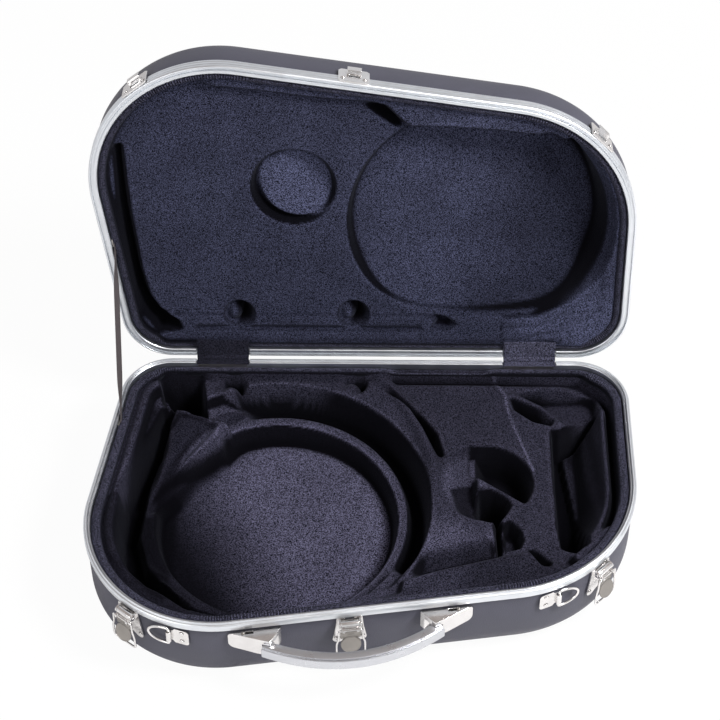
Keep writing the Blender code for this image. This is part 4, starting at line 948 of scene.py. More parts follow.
def lid_depth(x, y):
    """The lid's depth at each place, from its flat panel onwards."""
    inset = inset_of(x, y)
    depth = 18.6 - 3.6 * smooth(y, -49.0, -45.0)
    depth = depth + 2.2 * stripe(y + 47.0, 1.3) * smooth(x, 120.0, 90.0)

    # The big round floor, the ledge at the top and the pocket under the ledge's bend
    ledge = in_polygon(x, y, (*LID["ledge edge"], (300, -300), (200, -400), (-250, -420), (-240, -380)))
    circle = bell_side(x, y, ledge)
    fall = (13.0 + 10.0 * smooth(x, 0.0, 130.0)) * smooth(-y, 48.0, 130.0)
    floor = 23.0 + fall + 6.0 * smooth(x, 60.0, 220.0)
    depth = sink(depth, circle, floor, 6.0 + 9.0 * smooth(x, 215.0, 250.0))
    depth = level(depth, ledge, 8.0, 4.0)
    depth = sunk(depth, x, y, LID, (("bend pocket", 32.0, 6.0),))

    # Lower right: a slope with two creases, and a dark corner pocket beside the right cup
    slope = level(depth, in_polygon(x, y, LID["corner slope"]), 12.0 - 4.0 * smooth(x, 170.0, 250.0), 5.0)
    depth = np.where(circle > 0.0, depth, slope)
    for crease in LID["corner creases"]:
        depth = depth + 2.0 * striped(x, y, crease, 2.2)
    depth = sunk(depth, x, y, LID, (("corner pocket", 27.0, 8.0),))
    depth = depth + 5.0 * striped(x, y, ((-185, -27), (60, -27)), 3.0)

    depth = mute_pocket(depth, x, y)
    for cx, cy in CUPS["lid"]:
        dx, dy = x - cx, y - cy
        depth = cup(depth, dx, dy, 18.5, 42.0, np.hypot((dx + 6.0) / 10.0, dy / 15.0), 19.0)

    # Left channel with the panel's beaded edge beside it, and the wall at the right end
    depth = sunk(depth, x, y, LID, (("channel", 38.0, 8.0),))
    depth = depth - 1.3 * stripe(to_line(x, y, LID["channel bead"])[0] - 2.5, 1.6)
    right_wall = smooth(inset, 34.0, 26.0) * smooth(x, 200.0, 230.0)
    return depth + (5.5 - depth) * right_wall * (1.0 - smooth(circle, -8.0, 0.0))


print("middle of the lid's round floor", float(lid_depth(np.array(122.0), np.array(-165.0)).round(1)))

# %% [markdown]
# ## Painted light and shade, with the cloth's tones
# The floors of both bell circles are painted darker to one side, as painted shade, and the block
# and the border are darker than the floors. Painted shade also darkens the base's front left, its
# left channel and the hollow's fold, and the lid's round floor along its right edge. Painted light
# brightens slopes, the back of the hollow and the seam. These tones are a share of the brightest
# pile. Slopes that face the light keep a least shade, which the second array gives as painted
# light. An image could hold all this too, but tones worked out from the same shapes always fit
# the pockets.

# %% Tones of the cloth, with painted light and shade
def lit_cups(x, y, body, toward):
    """Painted light on the side of each cup that faces the light."""
    lit = np.zeros(x.shape)
    for cx, cy in CUPS[body]:
        dx, dy = x - cx, y - cy
        side = (dx * toward[0] + dy * toward[1]) / 15.0
        lit = np.maximum(lit, 0.85 * smooth(side, 0.0, 0.55) * smooth(np.hypot(dx, dy), 17.0, 15.0))
    return lit


def base_cloth_with_painted_light(x, y, inset):
    """Share of the brightest pile in the base: the cloth's tones, with painted light and shade."""
    bell, angle = from_bell(x, y)
    # The block's tone, with painted light on the slope in front of the valves and on their pocket's left side.
    tone = 0.30 + 0.20 * smooth(120.0 - x, 0.0, 30.0) * smooth(-190.0 - y, 0.0, 25.0)
    tone = tone + 0.26 * smooth(in_circle(x, y, KEYS, 52.0), 0.0, 8.0) * smooth(x, 140.0, 120.0)
    tone = np.where(bell < 168.0, 0.46, tone)
    # Painted shade: the bell's floor is darker towards its left and front.
    floor = 0.03 + 0.90 * smooth((x - BELL[0]) + 0.55 * (y - BELL[1]), -126.0, 8.0)
    tone = level(tone, 136.0 - bell, floor, 6.0)
    # Painted shadow along the front left of the bell, under the front wall.
    front_left_shadow = smooth(bell, 122.0, 132.0) * smooth(angle, -75.0, -100.0) * smooth(inset, 14.0, 18.0)
    tone = tone + (0.11 - tone) * front_left_shadow
    # Painted shade down the left channel.
    left = smooth(x, -196.0, -206.0) * smooth(inset, 30.0, 35.0) * smooth(-y, 50.0, 62.0)
    tone = tone * (1.0 - 0.75 * left)
    tone = level(tone, in_polygon(x, y, BASE["plateau cloth"]), 0.17, 5.0)
    tone = level(tone, in_polygon(x, y, BASE["key side cloth"]), 0.10, 3.0)
    # Painted light on the back of the front hollow, and painted shade in its fold.
    tone = tone + 0.22 * striped(x, y, BASE["hollow back"], 13.0)
    tone = tone * (1.0 - 0.85 * striped(x, y, BASE["hollow fold"], 5.0))
    tone = tone * (1.0 - 0.36 * smooth(in_polygon(x, y, BASE["front block cloth"]), 0.0, 4.0))
    # Painted highlight along the raised seam.
    return tone + 0.7 * striped(x, y, BASE["seam"][:6], 1.3)


def base_lit(x, y, inset):
    """Painted light: the least shade on the base's slopes that face the light."""
    bell, angle = from_bell(x, y)
    lit = 0.7 * smooth(y, -34.0, -24.0) * (1.0 - 0.7 * smooth(x, -166.0, -178.0) * smooth(x, -236.0, -226.0))
    left_roll = smooth(x, -190.0, -204.0) * smooth(inset, 17.0, 19.0) * smooth(inset, 31.5, 28.5)
    bell_back = smooth(angle, 96.0, 118.0) * smooth(angle, 175.0, 160.0) * smooth(155.0 - bell, 0.0, 12.0)
    lit = np.maximum(np.maximum(lit, 0.8 * left_roll), 0.75 * bell_back)
    # Painted shade along the plateau's crease.
    lit = lit * (1.0 - 0.8 * striped(x, y, BASE["plateau crease"], 8.0))
    right_slope = smooth(x - 16.0 * smooth(-y, 90.0, 240.0), 216.0, 222.0) * smooth(-y, 62.0, 80.0)
    right_slope = right_slope * smooth(inset, 27.0, 31.0) * smooth(
        inset + 20.0 * smooth(-y, 90.0, 230.0), 60.0, 50.0)
    # Painted light in streaks across the right slope, lighter and darker as if it were folded.
    painted_streaks = 0.34 + 0.16 * np.sin(x / 2.3 + 0.03 * y)
    for part in (painted_streaks * right_slope, 0.8 * smooth(x, 190.0, 205.0) * smooth(y, -78.0, -62.0),
                 0.9 * striped(x, y, BASE["key ridge"], 2.5),
                 0.75 * smooth(in_circle(x, y, KEYS, 54.0), 0.0, 3.0) * smooth(x, 118.0, 112.0)):
        lit = np.maximum(lit, part)
    return lit


def base_tone_with_painted_light(x, y, inset, openness):
    """Tone of the base's cloth with its painted light and shade, and its least shade, as painted light, where it
    is open enough for the light.
    """
    lit = base_lit(x, y, inset) * openness
    return base_cloth_with_painted_light(x, y, inset), np.maximum(lit, lit_cups(x, y, "base", (-0.75, -0.65)))


def lid_tone_with_painted_light(x, y, inset, openness):
    """Tone of the lid's cloth: panel, round floor, mute pocket and corner, with painted light and shade; and its
    least shade.
    """
    round_edge = in_circle(x, y, BELL_SIDE, 140.0)
    circle = smooth(round_edge, 0.0, 6.0) * smooth(-44.0 - y, 0.0, 8.0)
    # Painted shade: the round floor is darker towards its right, and nearly black along its right edge.
    floor = 0.50 - 0.24 * smooth(x + 0.3 * y, 30.0, 150.0)
    tone = 0.40 + (floor - 0.40) * circle
    tone = tone * (1.0 - 0.93 * smooth(round_edge, 15.0, 8.0) * circle * smooth(x, 180.0, 225.0))
    tone = level(tone, in_circle(x, y, MUTE, 44.0), 0.78, 6.0)
    # Painted light on the lower right slope, along the back and outside the round floor's right edge.
    low_right = smooth(x, 150.0, 190.0) * smooth(y, -110.0, -60.0) * (1.0 - circle)
    tone = tone + (0.66 - tone) * low_right
    lit = 0.5 * smooth(y, -52.0, -40.0) * smooth(x, -190.0, -170.0) + 0.3 * low_right
    lit = np.maximum(lit, 0.75 * smooth(-round_edge, -3.0, 1.0) * smooth(x, 190.0, 225.0))
    return tone, np.maximum(lit * openness, lit_cups(x, y, "lid", (-1.0, 0.1)))


print("tone of the mute's pocket", float(lid_tone_with_painted_light(*np.array(MUTE)[:, None], 100.0, 1.0)[0][0].round(2)))

# %% [markdown]
# ## From a landscape to a padded form
# A regular grid of points covers the tray. Cells outside the border's ring are dropped, and the
# points on the ragged rim that this leaves are moved out to the ring. Then the rim is carried
# down as a wall and closed underneath, so that the form is one solid block of foam and cloth.
# The cloth's walls, creases and narrow pockets are painted darker than its tops, as painted shade,
# and its crests a little lighter. A blurred copy of the depths tells creases from crests: where a
# place lies below its blurred surroundings, the shade is low, which paints it darker.

# %% Padded forms
CELL = 1.6
ROLL_INNER = 17.0
NARROW_INNER = 11.5
TAPER = 0.045
COVER_DEPTH = 8.0
FORMS = {"base": (base_depth, base_tone_with_painted_light, 9.0, 84.0, PLUSH),
         "lid": (lid_depth, lid_tone_with_painted_light, 11.0, 61.0, LID_PLUSH)}


def blurred(values, sigma):
    """Values blurred by a bell curve whose width is sigma cells."""
    reach = int(3 * sigma)
    weights = np.exp(-0.5 * (np.arange(-reach, reach + 1) / sigma) ** 2)
    weights /= weights.sum()
    padded = np.pad(values, reach, mode="edge")
    rows = np.apply_along_axis(np.convolve, 0, padded, weights, "same")
    return np.apply_along_axis(np.convolve, 1, rows, weights, "same")[reach:-reach, reach:-reach]


def shade_of(depth, step):
    """Painted shade: 0 in creases, narrow pockets and on steep walls, 1 on tops and floors."""
    near, wide = blurred(depth, 3.0), blurred(depth, 12.0)
    slope = np.hypot(*np.gradient(depth, step))
    crease = 0.8 * smooth(depth - near, 0.6, 5.0) + 0.95 * smooth(depth - wide, 6.0, 20.0)
    crest = 0.25 * smooth(near - depth, 0.5, 4.0)
    flat = 1.0 - 0.97 * smooth(slope, 0.35, 1.5)
    return np.clip(flat * (1.0 - crease) + crest * flat, 0.004, 1.25)


def roll_inner(x, y):
    """Inset at which the border roll ends: it is narrow along the back edge."""
    back = smooth(y, -30.0, -14.0) * smooth(x, -240.0, -222.0) * smooth(x, 262.0, 240.0)
    return ROLL_INNER - (ROLL_INNER - NARROW_INNER) * back


def ragged_edge(cell, shape):
    """Which grid points the kept cells use, and which of those lie on their ragged edge."""
    used = np.zeros(shape, dtype=int)
    for i, j in ((0, 0), (1, 0), (1, 1), (0, 1)):
        used[i:i + cell.shape[0], j:j + cell.shape[1]] += cell
    return used > 0, (used > 0) & (used < 4)


def closed_under(points, faces, floor_z):
    """Close a sheet of quads with a wall and a floor: all points, all faces and the rim's numbers.

    An edge that one quad uses, and no other the opposite way, lies on the rim. Each rim point gets
    a copy at floor_z, moved by TAPER towards the tray's middle, and the copies join one middle point.
    """
    count = len(points)
    sides = np.concatenate([faces[:, (k, (k + 1) % 4)] for k in range(4)])
    there, back = sides[:, 0] * count + sides[:, 1], sides[:, 1] * count + sides[:, 0]
    first, last = sides[~np.isin(there, back)].T
    middle = np.array((*TRAY_CENTRE, floor_z))
    low = np.column_stack((points[first, :2], np.full(len(first), floor_z)))
    low += (middle - low) * TAPER
    copy = np.zeros(count, dtype=int)
    copy[first] = count + np.arange(len(first))
    wall = np.stack((last, first, copy[first], copy[last]), axis=1)
    floor = np.stack((copy[last], copy[first], np.full(len(first), count + len(first))), axis=1)
    return np.vstack((points, low, middle)), [*faces.tolist(), *wall.tolist(), *floor.tolist()], first


def form(body):
    """A padded form from the body's landscape of depths, from an inset start inwards."""
    depths, tones, start, underside, plush = FORMS[body]
    xs = np.arange(-318.0, 300.0, CELL)
    ys = np.arange(-392.0, 4.0, CELL)
    x, y = np.meshgrid(xs, ys, indexing="ij")
    inset = inset_of(x, y)
    keep = inset > start - 0.3 * CELL
    cell = keep[:-1, :-1] & keep[1:, :-1] & keep[1:, 1:] & keep[:-1, 1:]
    used, edge = ragged_edge(cell, x.shape)
    gx, gy = np.gradient(inset, CELL)
    size = np.maximum(np.hypot(gx, gy), 0.5)
    move = np.where(edge, (start - inset) / size, 0.0)
    x, y = x + move * gx / size, y + move * gy / size

    depth = depths(x, y)
    end = roll_inner(x, y)
    cover = smooth(inset, end - 1.0, end + 2.5)
    depth = blurred(COVER_DEPTH + (depth - COVER_DEPTH) * cover, 0.8)
    # The shade attribute joins painted shade in creases, painted light on open slopes and the cloth's tones.
    openness = smooth(blurred(depth, 10.0) - depth, -9.0, -3.0) * smooth(depth, 56.0, 42.0)
    tone, lit = tones(x, y, inset, openness)
    shade = np.maximum(shade_of(depth, CELL), lit) * tone

    number = np.full(x.shape, -1)
    number[used] = np.arange(np.count_nonzero(used))
    corners = (number[:-1, :-1], number[1:, :-1], number[1:, 1:], number[:-1, 1:])
    faces = np.stack([c[cell] for c in corners], axis=1)
    points = np.stack((x, y, SIDE[body] * depth), axis=-1)[used]
    points, faces, rim = closed_under(points, faces, SIDE[body] * underside)

    mesh = bpy.data.meshes.new(f"{body}_fitted_form")
    mesh.from_pydata(MOUNT[body](points).tolist(), [], faces)
    give_values(mesh, "shade", np.concatenate((shade[used], shade[used][rim], (0.0,))))
    piece = finished(mesh.name, mesh, plush, body, [f"{body}_lining"], sharp=180.0)
    return piece


for body in FORMS:
    print("form of the", body, "has", len(form(body).data.polygons), "faces")

# %% [markdown]
# ## Border rolls
# A padded roll covers the edge of each form just inside the rim. Cloth pulled round a corner
# gathers in small pleats, so the roll carries short waves there and stays smooth on the straight
# edges. Simulated cloth could gather by itself, but a closed profile carried round the outline
# has far fewer faces and gives the same pleats each time.

# %% Border rolls
PLEAT = 3.1
FINE_EDGE, FINE_NORMAL = walk(0.8)


def pleats(windows):
    """Height of the pleats at each point of the fine outline; windows are x, y, radius, height."""
    step = np.linalg.norm(np.roll(FINE_EDGE, -1, axis=0) - FINE_EDGE, axis=1)
    length = np.append(0.0, np.cumsum(step)[:-1])
    wave = np.sin(2.0 * math.pi * length / PLEAT + 1.3 * np.sin(length / 7.0))
    amount = np.zeros(len(FINE_EDGE))
    for x, y, radius, height in windows:
        near = np.hypot(FINE_EDGE[:, 0] - x, FINE_EDGE[:, 1] - y)
        amount = np.maximum(amount, height * smooth(radius - near, 0.0, 0.5 * radius))
    return amount * wave


def base_back_drop(x):
    """How much deeper the base's roll lies along the back edge, most behind the block."""
    return 3.0 + 5.0 * smooth(x, 20.0, 40.0) * smooth(x, 150.0, 130.0)


def lid_back_drop(x):
    """The lid's roll lies evenly deeper along the back edge."""
    return np.full(x.shape, 2.0)


def roll(body, start, crest, windows, back_drop, tone_top):
    """A closed roll from inset start to ROLL_INNER, whose crest lies at the given depth."""
    end = ROLL_INNER
    profile = np.array(((start, 18.0), (start, crest + 3.6), (start + 0.35, crest + 1.9),
                        (start + 1.3, crest + 0.7), (start + 2.8, crest + 0.1),
                        (0.5 * (start + end), crest - 0.15), (end - 2.8, crest + 0.25),
                        (end - 1.5, crest + 1.0), (end - 0.5, crest + 2.4), (end, crest + 4.6),
                        (end + 0.4, crest + 8.0), (end - 0.6, 18.0)))
    share = np.array((0.0, 0.3, 0.6, 0.9, 1.0, 1.0, 1.0, 0.9, 0.8, 0.6, 0.3, 0.0))
    width = (roll_inner(FINE_EDGE[:, 0], FINE_EDGE[:, 1]) - start) / (end - start)
    inset = start + (profile[:, :1] - start) * width[None]
    ring = with_heights(FINE_EDGE[None] - inset[..., None] * FINE_NORMAL[None], profile)
    waves = pleats(windows)[None]
    ring[..., 2] += back_drop(ring[..., 0]) * smooth(ring[..., 1], -60.0, -8.0) * share[:, None]
    ring[..., 2] -= waves * share[:, None]
    ring[..., 2] *= SIDE[body]
    grids = [(MOUNT[body](ring), True, True)]
    piece = make(f"{body}_border_roll", grids, BORDER_PLUSH, body, sharp=180.0)
    # Painted shade on the roll's sides below its crest, and painted light and shade on the pleats: lighter where
    # they rise, darker where they sink.
    shade = tone_top * (1.0 - 0.95 * smooth(profile[:, 1:], crest + 1.0, crest + 6.0))
    give_values(piece.data, "shade", shade * (1.0 + np.clip(1.3 * waves, -0.75, 0.75)))


BASE_PLEATS = ((-235.0, -8.0, 42.0, 0.8), (-105.0, -342.0, 80.0, 0.55), (165.0, -300.0, 36.0, 0.8),
               (268.0, -18.0, 36.0, 0.6))
LID_PLEATS = ((-215.0, -345.0, 48.0, 0.7), (-160.0, -360.0, 60.0, 0.7), (190.0, -300.0, 60.0, 0.6),
              (-238.0, -14.0, 38.0, 0.7), (262.0, -12.0, 46.0, 0.7))
roll("base", start=7.0, crest=3.0, windows=BASE_PLEATS, back_drop=base_back_drop, tone_top=0.5)
roll("lid", start=9.4, crest=2.8, windows=LID_PLEATS, back_drop=lid_back_drop, tone_top=0.4)
print("rolls:", len(FINE_EDGE), "points round")

# %% [markdown]
# ## Cut and stamped fittings
# Plates, keepers, brackets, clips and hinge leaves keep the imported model's exact shape. A copy
# of each is merged and its flat faces are joined, and a small bevel rounds its edges, because
# stamped and cast metal always has edges that catch a line of light.

# %% Rounded copies of CAD pieces
NODES = frame["nodes"]


def refined(node, finish, width, segments=2):
    """A copy of a metal CAD node with merged points, joined flat faces and a bevel of a width."""
    mesh = NODES[node].data.copy()
    mesh.name = f"{node}_fine"
    work = bmesh.new()
    work.from_mesh(mesh)
    bmesh.ops.remove_doubles(work, verts=work.verts, dist=0.004 * MM)
    bmesh.ops.dissolve_limit(work, angle_limit=math.radians(1.5), verts=work.verts, edges=work.edges)
    work.to_mesh(mesh)
    work.free()
    mesh.shade_smooth()
    mesh.set_sharp_from_angle(angle=math.radians(38.0))
    mesh.materials.clear()
    mesh.materials.append(finish)
    piece = bpy.data.objects.new(mesh.name, mesh)
    bpy.context.scene.collection.objects.link(piece)
    edge = piece.modifiers.new("edges", "BEVEL")
    edge.width = width * MM
    edge.segments = segments
    edge.limit_method = "ANGLE"
    edge.angle_limit = math.radians(40.0)
    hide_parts(node)
    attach(piece, body_of(NODES[node])[0])


for side in ("left", "center", "right"):
    refined(f"latch_{side}_plate", NICKEL, 0.35)
    refined(f"keeper_{side}", NICKEL, 0.35)
for side in ("left", "right"):
    refined(f"handle_bracket_{side}", NICKEL, 0.5, 3)
    refined(f"dring_plate_{side}", NICKEL, 0.3)
    for half in MOUNT:
        refined(f"hinge_{side}_{half}_leaf", WORN_NICKEL, 0.2)
for half in MOUNT:
    refined(f"strap_anchor_{half}", WORN_NICKEL, 0.25)
print("rounded copies:", sum(mesh.name.endswith("_fine") for mesh in bpy.data.meshes))

# %% [markdown]
# ## Latches
# Each lever is a barrel round its pin, a flat blade, two lugs that carry the wire bail and a
# round thumb disc that leans outwards. The bail's legs bow apart so that it passes the disc.
# They could be cut from blocks, but turned profiles and slabs with rounded edges stay cleaner.
# Coordinates on a seat are s along the wall, out of the case, and z up from the rim's face. An
# axis that runs along the wall is a pair of out and z.

# %% Levers, bails and rivets
LATCH_PLACES = {"left": (*corner_place(1, 0.57), CORNER_RADII[1]), "center": (*front_place(-11.4), None),
                "right": (*corner_place(2, 0.455), CORNER_RADII[2])}
LATCH_AXIS = (4.6, -14.0)
BAIL_AXIS = (9.8, -17.8)
BAIL_WIRE = 1.1
THUMB_TILT = math.radians(20.0)
DARK_BELOW = -19.6
RIVET_HEAD, RIVET_SHANK, RIVET_TAIL = 2.6, 1.2, 2.3
LATCH_RIVET_S, LATCH_RIVET_Z, LATCH_RIVET_OUT = 13.6, -43.5, 0.3
KEEPER_RIVET_S, KEEPER_RIVET_Z, KEEPER_RIVET_OUT = 11.5, 9.0, 2.1
WALL_INSIDE = -(SHELL_INSET + WALL)


def along_s(grid, s, out, z):
    """A shape turned about the third axis, laid along the wall at a place on a seat."""
    return np.stack((grid[..., 2] + s, grid[..., 0] + out, grid[..., 1] + z), axis=-1)


def pill(radius, low, high, round_by):
    """A rod's profile with rounded ends, closed at both poles."""
    inner = radius - round_by
    return np.vstack(((0.0, low), arc((inner, low + round_by), round_by, -90.0, 0.0, 4),
                      arc((inner, high - round_by), round_by, 0.0, 90.0, 4), (0.0, high)))


def slab(half_s, out, z, corner=1.2, edge=0.35):
    """A plate with rounded corners and edges: out and z are ranges, half_s its half width."""
    middle = (z[0] + z[1]) / 2.0
    size = (half_s, (z[1] - z[0]) / 2.0)

    def ring(shrink, at):
        """The outline of the plate, rounded at its corners and smaller by shrink there."""
        points = []
        for sx, sz, start in ((1, 1, 0.0), (-1, 1, 90.0), (-1, -1, 180.0), (1, -1, 270.0)):
            centre = (sx * (size[0] - corner), sz * (size[1] - corner))
            points.append(arc(centre, max(corner - shrink, 0.05), start, start + 90.0, 5))
        flat = np.concatenate(points)
        return np.stack((flat[:, 0], np.full(len(flat), at), flat[:, 1] + middle), axis=-1)
    rings = [ring(edge, out[0]), ring(0.3 * edge, out[0] + 0.3 * edge), ring(0.0, out[0] + edge),
             ring(0.0, out[1] - edge), ring(0.3 * edge, out[1] - 0.3 * edge), ring(edge, out[1])]
    poles = [np.broadcast_to(r.mean(axis=0), r.shape) for r in (rings[0], rings[-1])]
    return np.stack([poles[0], *rings, poles[1]])


def lever_parts():
    """Barrel, blade, its raised pad, thumb disc and lugs of a lever, on its seat."""
    out, z = LATCH_AXIS
    face = out + 3.8
    barrel = along_s(turned(pill(3.8, -9.1, 9.1, 0.6), 36), 0.0, out, z)
    blade = slab(10.4, (face - 1.7, face - 0.1), (-33.2, -19.0))
    neck = slab(8.9, (face - 1.65, face - 0.05), (-22.0, -13.8))
    pad = slab(8.2, (face - 0.4, face + 0.35), (-30.6, -21.8), 1.6, 0.3)
    mark = slab(3.6, (face + 0.1, face + 0.6), (-27.0, -25.6), 0.6, 0.2)
    disc = turned([(0.0, -0.8), (9.6, -0.8), (10.2, -0.62), (10.5, -0.2), (10.5, 0.2), (10.2, 0.62),
                   (9.6, 0.8), (9.2, 0.55), (0.0, 0.5)], 56)
    down = np.array((0.0, math.sin(THUMB_TILT), -math.cos(THUMB_TILT)))
    outwards = np.array((0.0, math.cos(THUMB_TILT), math.sin(THUMB_TILT)))
    centre = np.array((0.0, face - 0.8, -32.0)) + down * 9.0
    thumb = (centre + disc[..., :1] * np.array((1.0, 0.0, 0.0)) + disc[..., 1:2] * down
             + disc[..., 2:] * outwards)
    lugs = [along_s(turned([(1.45, -1.3), (2.2, -1.3), (2.4, -1.1), (2.4, 1.1), (2.2, 1.3), (1.45, 1.3)],
                           24), s, *BAIL_AXIS) for s in (-7.2, 7.2)]
    solid = [(part, True, False) for part in (barrel, blade, neck, pad, mark, thumb)]
    return solid + [(lug, True, True) for lug in lugs]


def bail_path():
    """Middle line of the bail: along the wall and up from its top bar, hanging down."""
    half = [(0.0, 0.0), (10.4, 0.0), (11.4, -0.5), (12.0, -1.6), (12.2, -4.0), (12.3, -12.0),
            (12.8, -16.0), (13.9, -19.5), (14.5, -22.5), (14.6, -26.0), (14.6, -35.5), (14.2, -37.3),
            (13.1, -38.6), (11.4, -39.0), (0.0, -39.0)]
    return np.array([*half, *[(-s, z) for s, z in half[-2:0:-1]]])


def wire(node, put, path, spacing, axis, radius, sides, body):
    """A closed round wire along a flat path of (s, z), which hangs from an axis on a seat."""
    path = resampled(path, spacing)
    line = np.stack((path[:, 0], np.full(len(path), axis[0]), path[:, 1] + axis[1]), axis=-1)
    make(f"{node}_wire", [(put(tube(line, radius, sides)), True, True)], NICKEL, body,
         [node], sharp=180.0)


def rivet(node, put, s, z, head_out, tail_out, body, finish=NICKEL):
    """A domed head and its shank along the out direction, with a tail where the head looks out."""
    grow = 1.0 if head_out > tail_out else -1.0
    tail = [(RIVET_TAIL, tail_out), (RIVET_TAIL, tail_out - 0.9), (0.0, tail_out - 0.9)]
    a = np.linspace(math.pi / 2.0, 0.0, 7)
    dome = np.stack((RIVET_HEAD * np.cos(a), head_out + grow * (0.25 + np.sin(a))), axis=1)
    profile = [(0.0, dome[0, 1]), *dome[1:], (RIVET_HEAD, head_out), (RIVET_SHANK, head_out),
               (RIVET_SHANK, tail_out), *(tail if grow > 0.0 else [(0.0, tail_out)])]
    grid = turned(profile, 22)
    shell = np.stack((grid[..., 0] + s, grid[..., 2], grid[..., 1] + z), axis=-1)
    make(f"{node}_fine", [(put(shell), True, False)], finish, body, [node], sharp=50.0)


def wall_tail(radius, s):
    """Where a rivet's tail starts behind the wall, which falls back from the seat on a corner."""
    edge = abs(s) + RIVET_TAIL
    return WALL_INSIDE - 0.3 - (radius - math.sqrt(radius * radius - edge * edge) if radius else 0.0)


for side, (place, direction, radius) in LATCH_PLACES.items():
    put = on_seat(place, direction)
    on_lid = on_seat(place, direction, in_lid)
    parts = [(put(part), columns, rows) for part, columns, rows in lever_parts()]
    lever = make(f"latch_{side}_lever_fine", parts, NICKEL, f"latch_lever_{side}",
                 [f"latch_{side}_lever"], sharp=30.0)
    lever.data.materials.append(DISC_AND_PIN_SHADE)
    height = np.array([face.center for face in lever.data.polygons])[:, 2]
    dark = height < SHIFT[2] * MM + DARK_BELOW * MM
    lever.data.polygons.foreach_set("material_index", dark.astype(np.int32))
    wire(f"latch_{side}_bail", put, bail_path(), 1.1, BAIL_AXIS, BAIL_WIRE, 16, f"latch_bail_{side}")
    pin = along_s(turned(pill(1.5, -11.6, 11.6, 0.4), 22), 0.0, *LATCH_AXIS)
    make(f"latch_{side}_pin_fine", [(put(pin), True, False)], NICKEL, "base",
         [f"latch_{side}_pin"])
    for i, s in enumerate((-LATCH_RIVET_S, LATCH_RIVET_S)):
        rivet(f"latch_{side}_rivet_{i + 1}", put, s, LATCH_RIVET_Z, LATCH_RIVET_OUT,
              wall_tail(radius, s), "base")
    for i, s in enumerate((-KEEPER_RIVET_S, KEEPER_RIVET_S)):
        rivet(f"keeper_{side}_rivet_{i + 1}", on_lid, s, KEEPER_RIVET_Z, KEEPER_RIVET_OUT,
              wall_tail(radius, s), "lid")
print("latches made:", len(LATCH_PLACES))

# %% [markdown]
# ## D-rings
# Each ring is round wire: an upright bar in the clip's barrel and a bow away from the clip. A
# curve with a round bevel would do as well. As a grid, the wire is closed and needs no conversion.

# %% Rings and their rivets
RING_PLACES = {"left": (*corner_place(1, 0.755), CORNER_RADII[1], 1.0),
               "right": (*corner_place(2, 0.2), CORNER_RADII[2], -1.0)}
RING_AXIS = (1.6, -24.0)
RING_WIRE = 1.5
RING_RIVET_S, RING_RIVET_RISE = 13.5, 6.5


def ring_path(side):
    """Middle line of a D: its bar, two eased corners and its bow, away from the clip's side."""
    half, flat, reach = 12.5, 4.0, 22.0
    a = np.linspace(math.pi / 2.0, -math.pi / 2.0, 41)
    bow = np.stack((-side * (flat + (reach - flat) * np.cos(a)), half * np.sin(a)), axis=1)
    ease = [(0.0, -half + 1.6), (0.0, half - 1.6), (-side * 0.5, half - 0.5), (-side * 1.6, half)]
    return [*ease, *bow, (-side * 1.6, -half), (-side * 0.5, -half + 0.5)]


for side, (place, direction, radius, turn) in RING_PLACES.items():
    put = on_seat(place, direction)
    wire(f"d_ring_{side}", put, ring_path(turn), 0.8, RING_AXIS, RING_WIRE, 18, f"ring_{side}")
    for i, rise in enumerate((-RING_RIVET_RISE, RING_RIVET_RISE)):
        s = turn * RING_RIVET_S
        rivet(f"dring_{side}_rivet_{i + 1}", put, s, RING_AXIS[1] + rise, 0.0, wall_tail(radius, s), "base")
print("rings made:", len(RING_PLACES))

# %% [markdown]
# ## Handle
# The grip is a bowed bar of satin metal. A bead runs along the outer edge of its top and bottom
# faces, with a narrow groove behind it. Both ends narrow to a root and a flat spring inside the
# brackets, where they lean on the sliding pins. A straight bar could be bent by a modifier, but
# its ends would turn out longer, so the section is carried along a parabola.

# %% Grip and pins
GRIP_Z = -27.5
GRIP_END = 90.0
GRIP_REACH = 39.0
GRIP_BOW = 0.0031
PIN_S = 109.5


def grip_shell():
    """The grip's section, carried along a parabola: at s it lies GRIP_REACH - GRIP_BOW s² out."""
    top = [(6.0, 5.0), (5.85, 5.9), (5.4, 6.5), (4.8, 6.65), (4.2, 6.4), (3.95, 5.9), (3.7, 5.75),
           (3.4, 6.0), (3.25, 6.8), (2.9, 7.3), (2.3, 7.5), (-4.9, 7.5), (-5.6, 7.25), (-5.9, 6.8),
           (-6.0, 6.0)]
    section = np.array([*top, *[(out, -z) for out, z in reversed(top)]])
    s = np.linspace(-GRIP_END, GRIP_END, 121)[:, None]
    slope = -2.0 * GRIP_BOW * s
    across = section[:, 0] / np.hypot(slope, 1.0)
    out = GRIP_REACH - GRIP_BOW * s * s
    rings = np.stack(np.broadcast_arrays(s - slope * across, out + across, GRIP_Z + section[:, 1]), axis=-1)
    end_slope = 2.0 * GRIP_BOW * GRIP_END
    for index, side in ((0, -1.0), (-1, 1.0)):
        ring = rings[index]
        centre = ring.mean(axis=0)
        ahead = np.array((side, -end_slope, 0.0)) / math.hypot(1.0, end_slope)
        caps = [ring + (centre - ring) * shrink + ahead * push for shrink, push in
                ((0.05, 0.35), (0.12, 0.6), (0.3, 0.7), (1.0, 0.7))]
        rings = np.concatenate((caps[::-1], rings) if index == 0 else (rings, caps))
    return rings


def block(s, out, z):
    """A closed box between ranges on a seat, as a grid of rings along s."""
    ring = np.array([(out[0], z[0]), (out[1], z[0]), (out[1], z[1]), (out[0], z[1])])
    middle = np.broadcast_to(ring.mean(axis=0), ring.shape)
    return np.stack([np.concatenate((np.full((4, 1), at), flat), axis=1)
                     for at, flat in ((s[0], middle), (s[0], ring), (s[1], ring), (s[1], middle))])


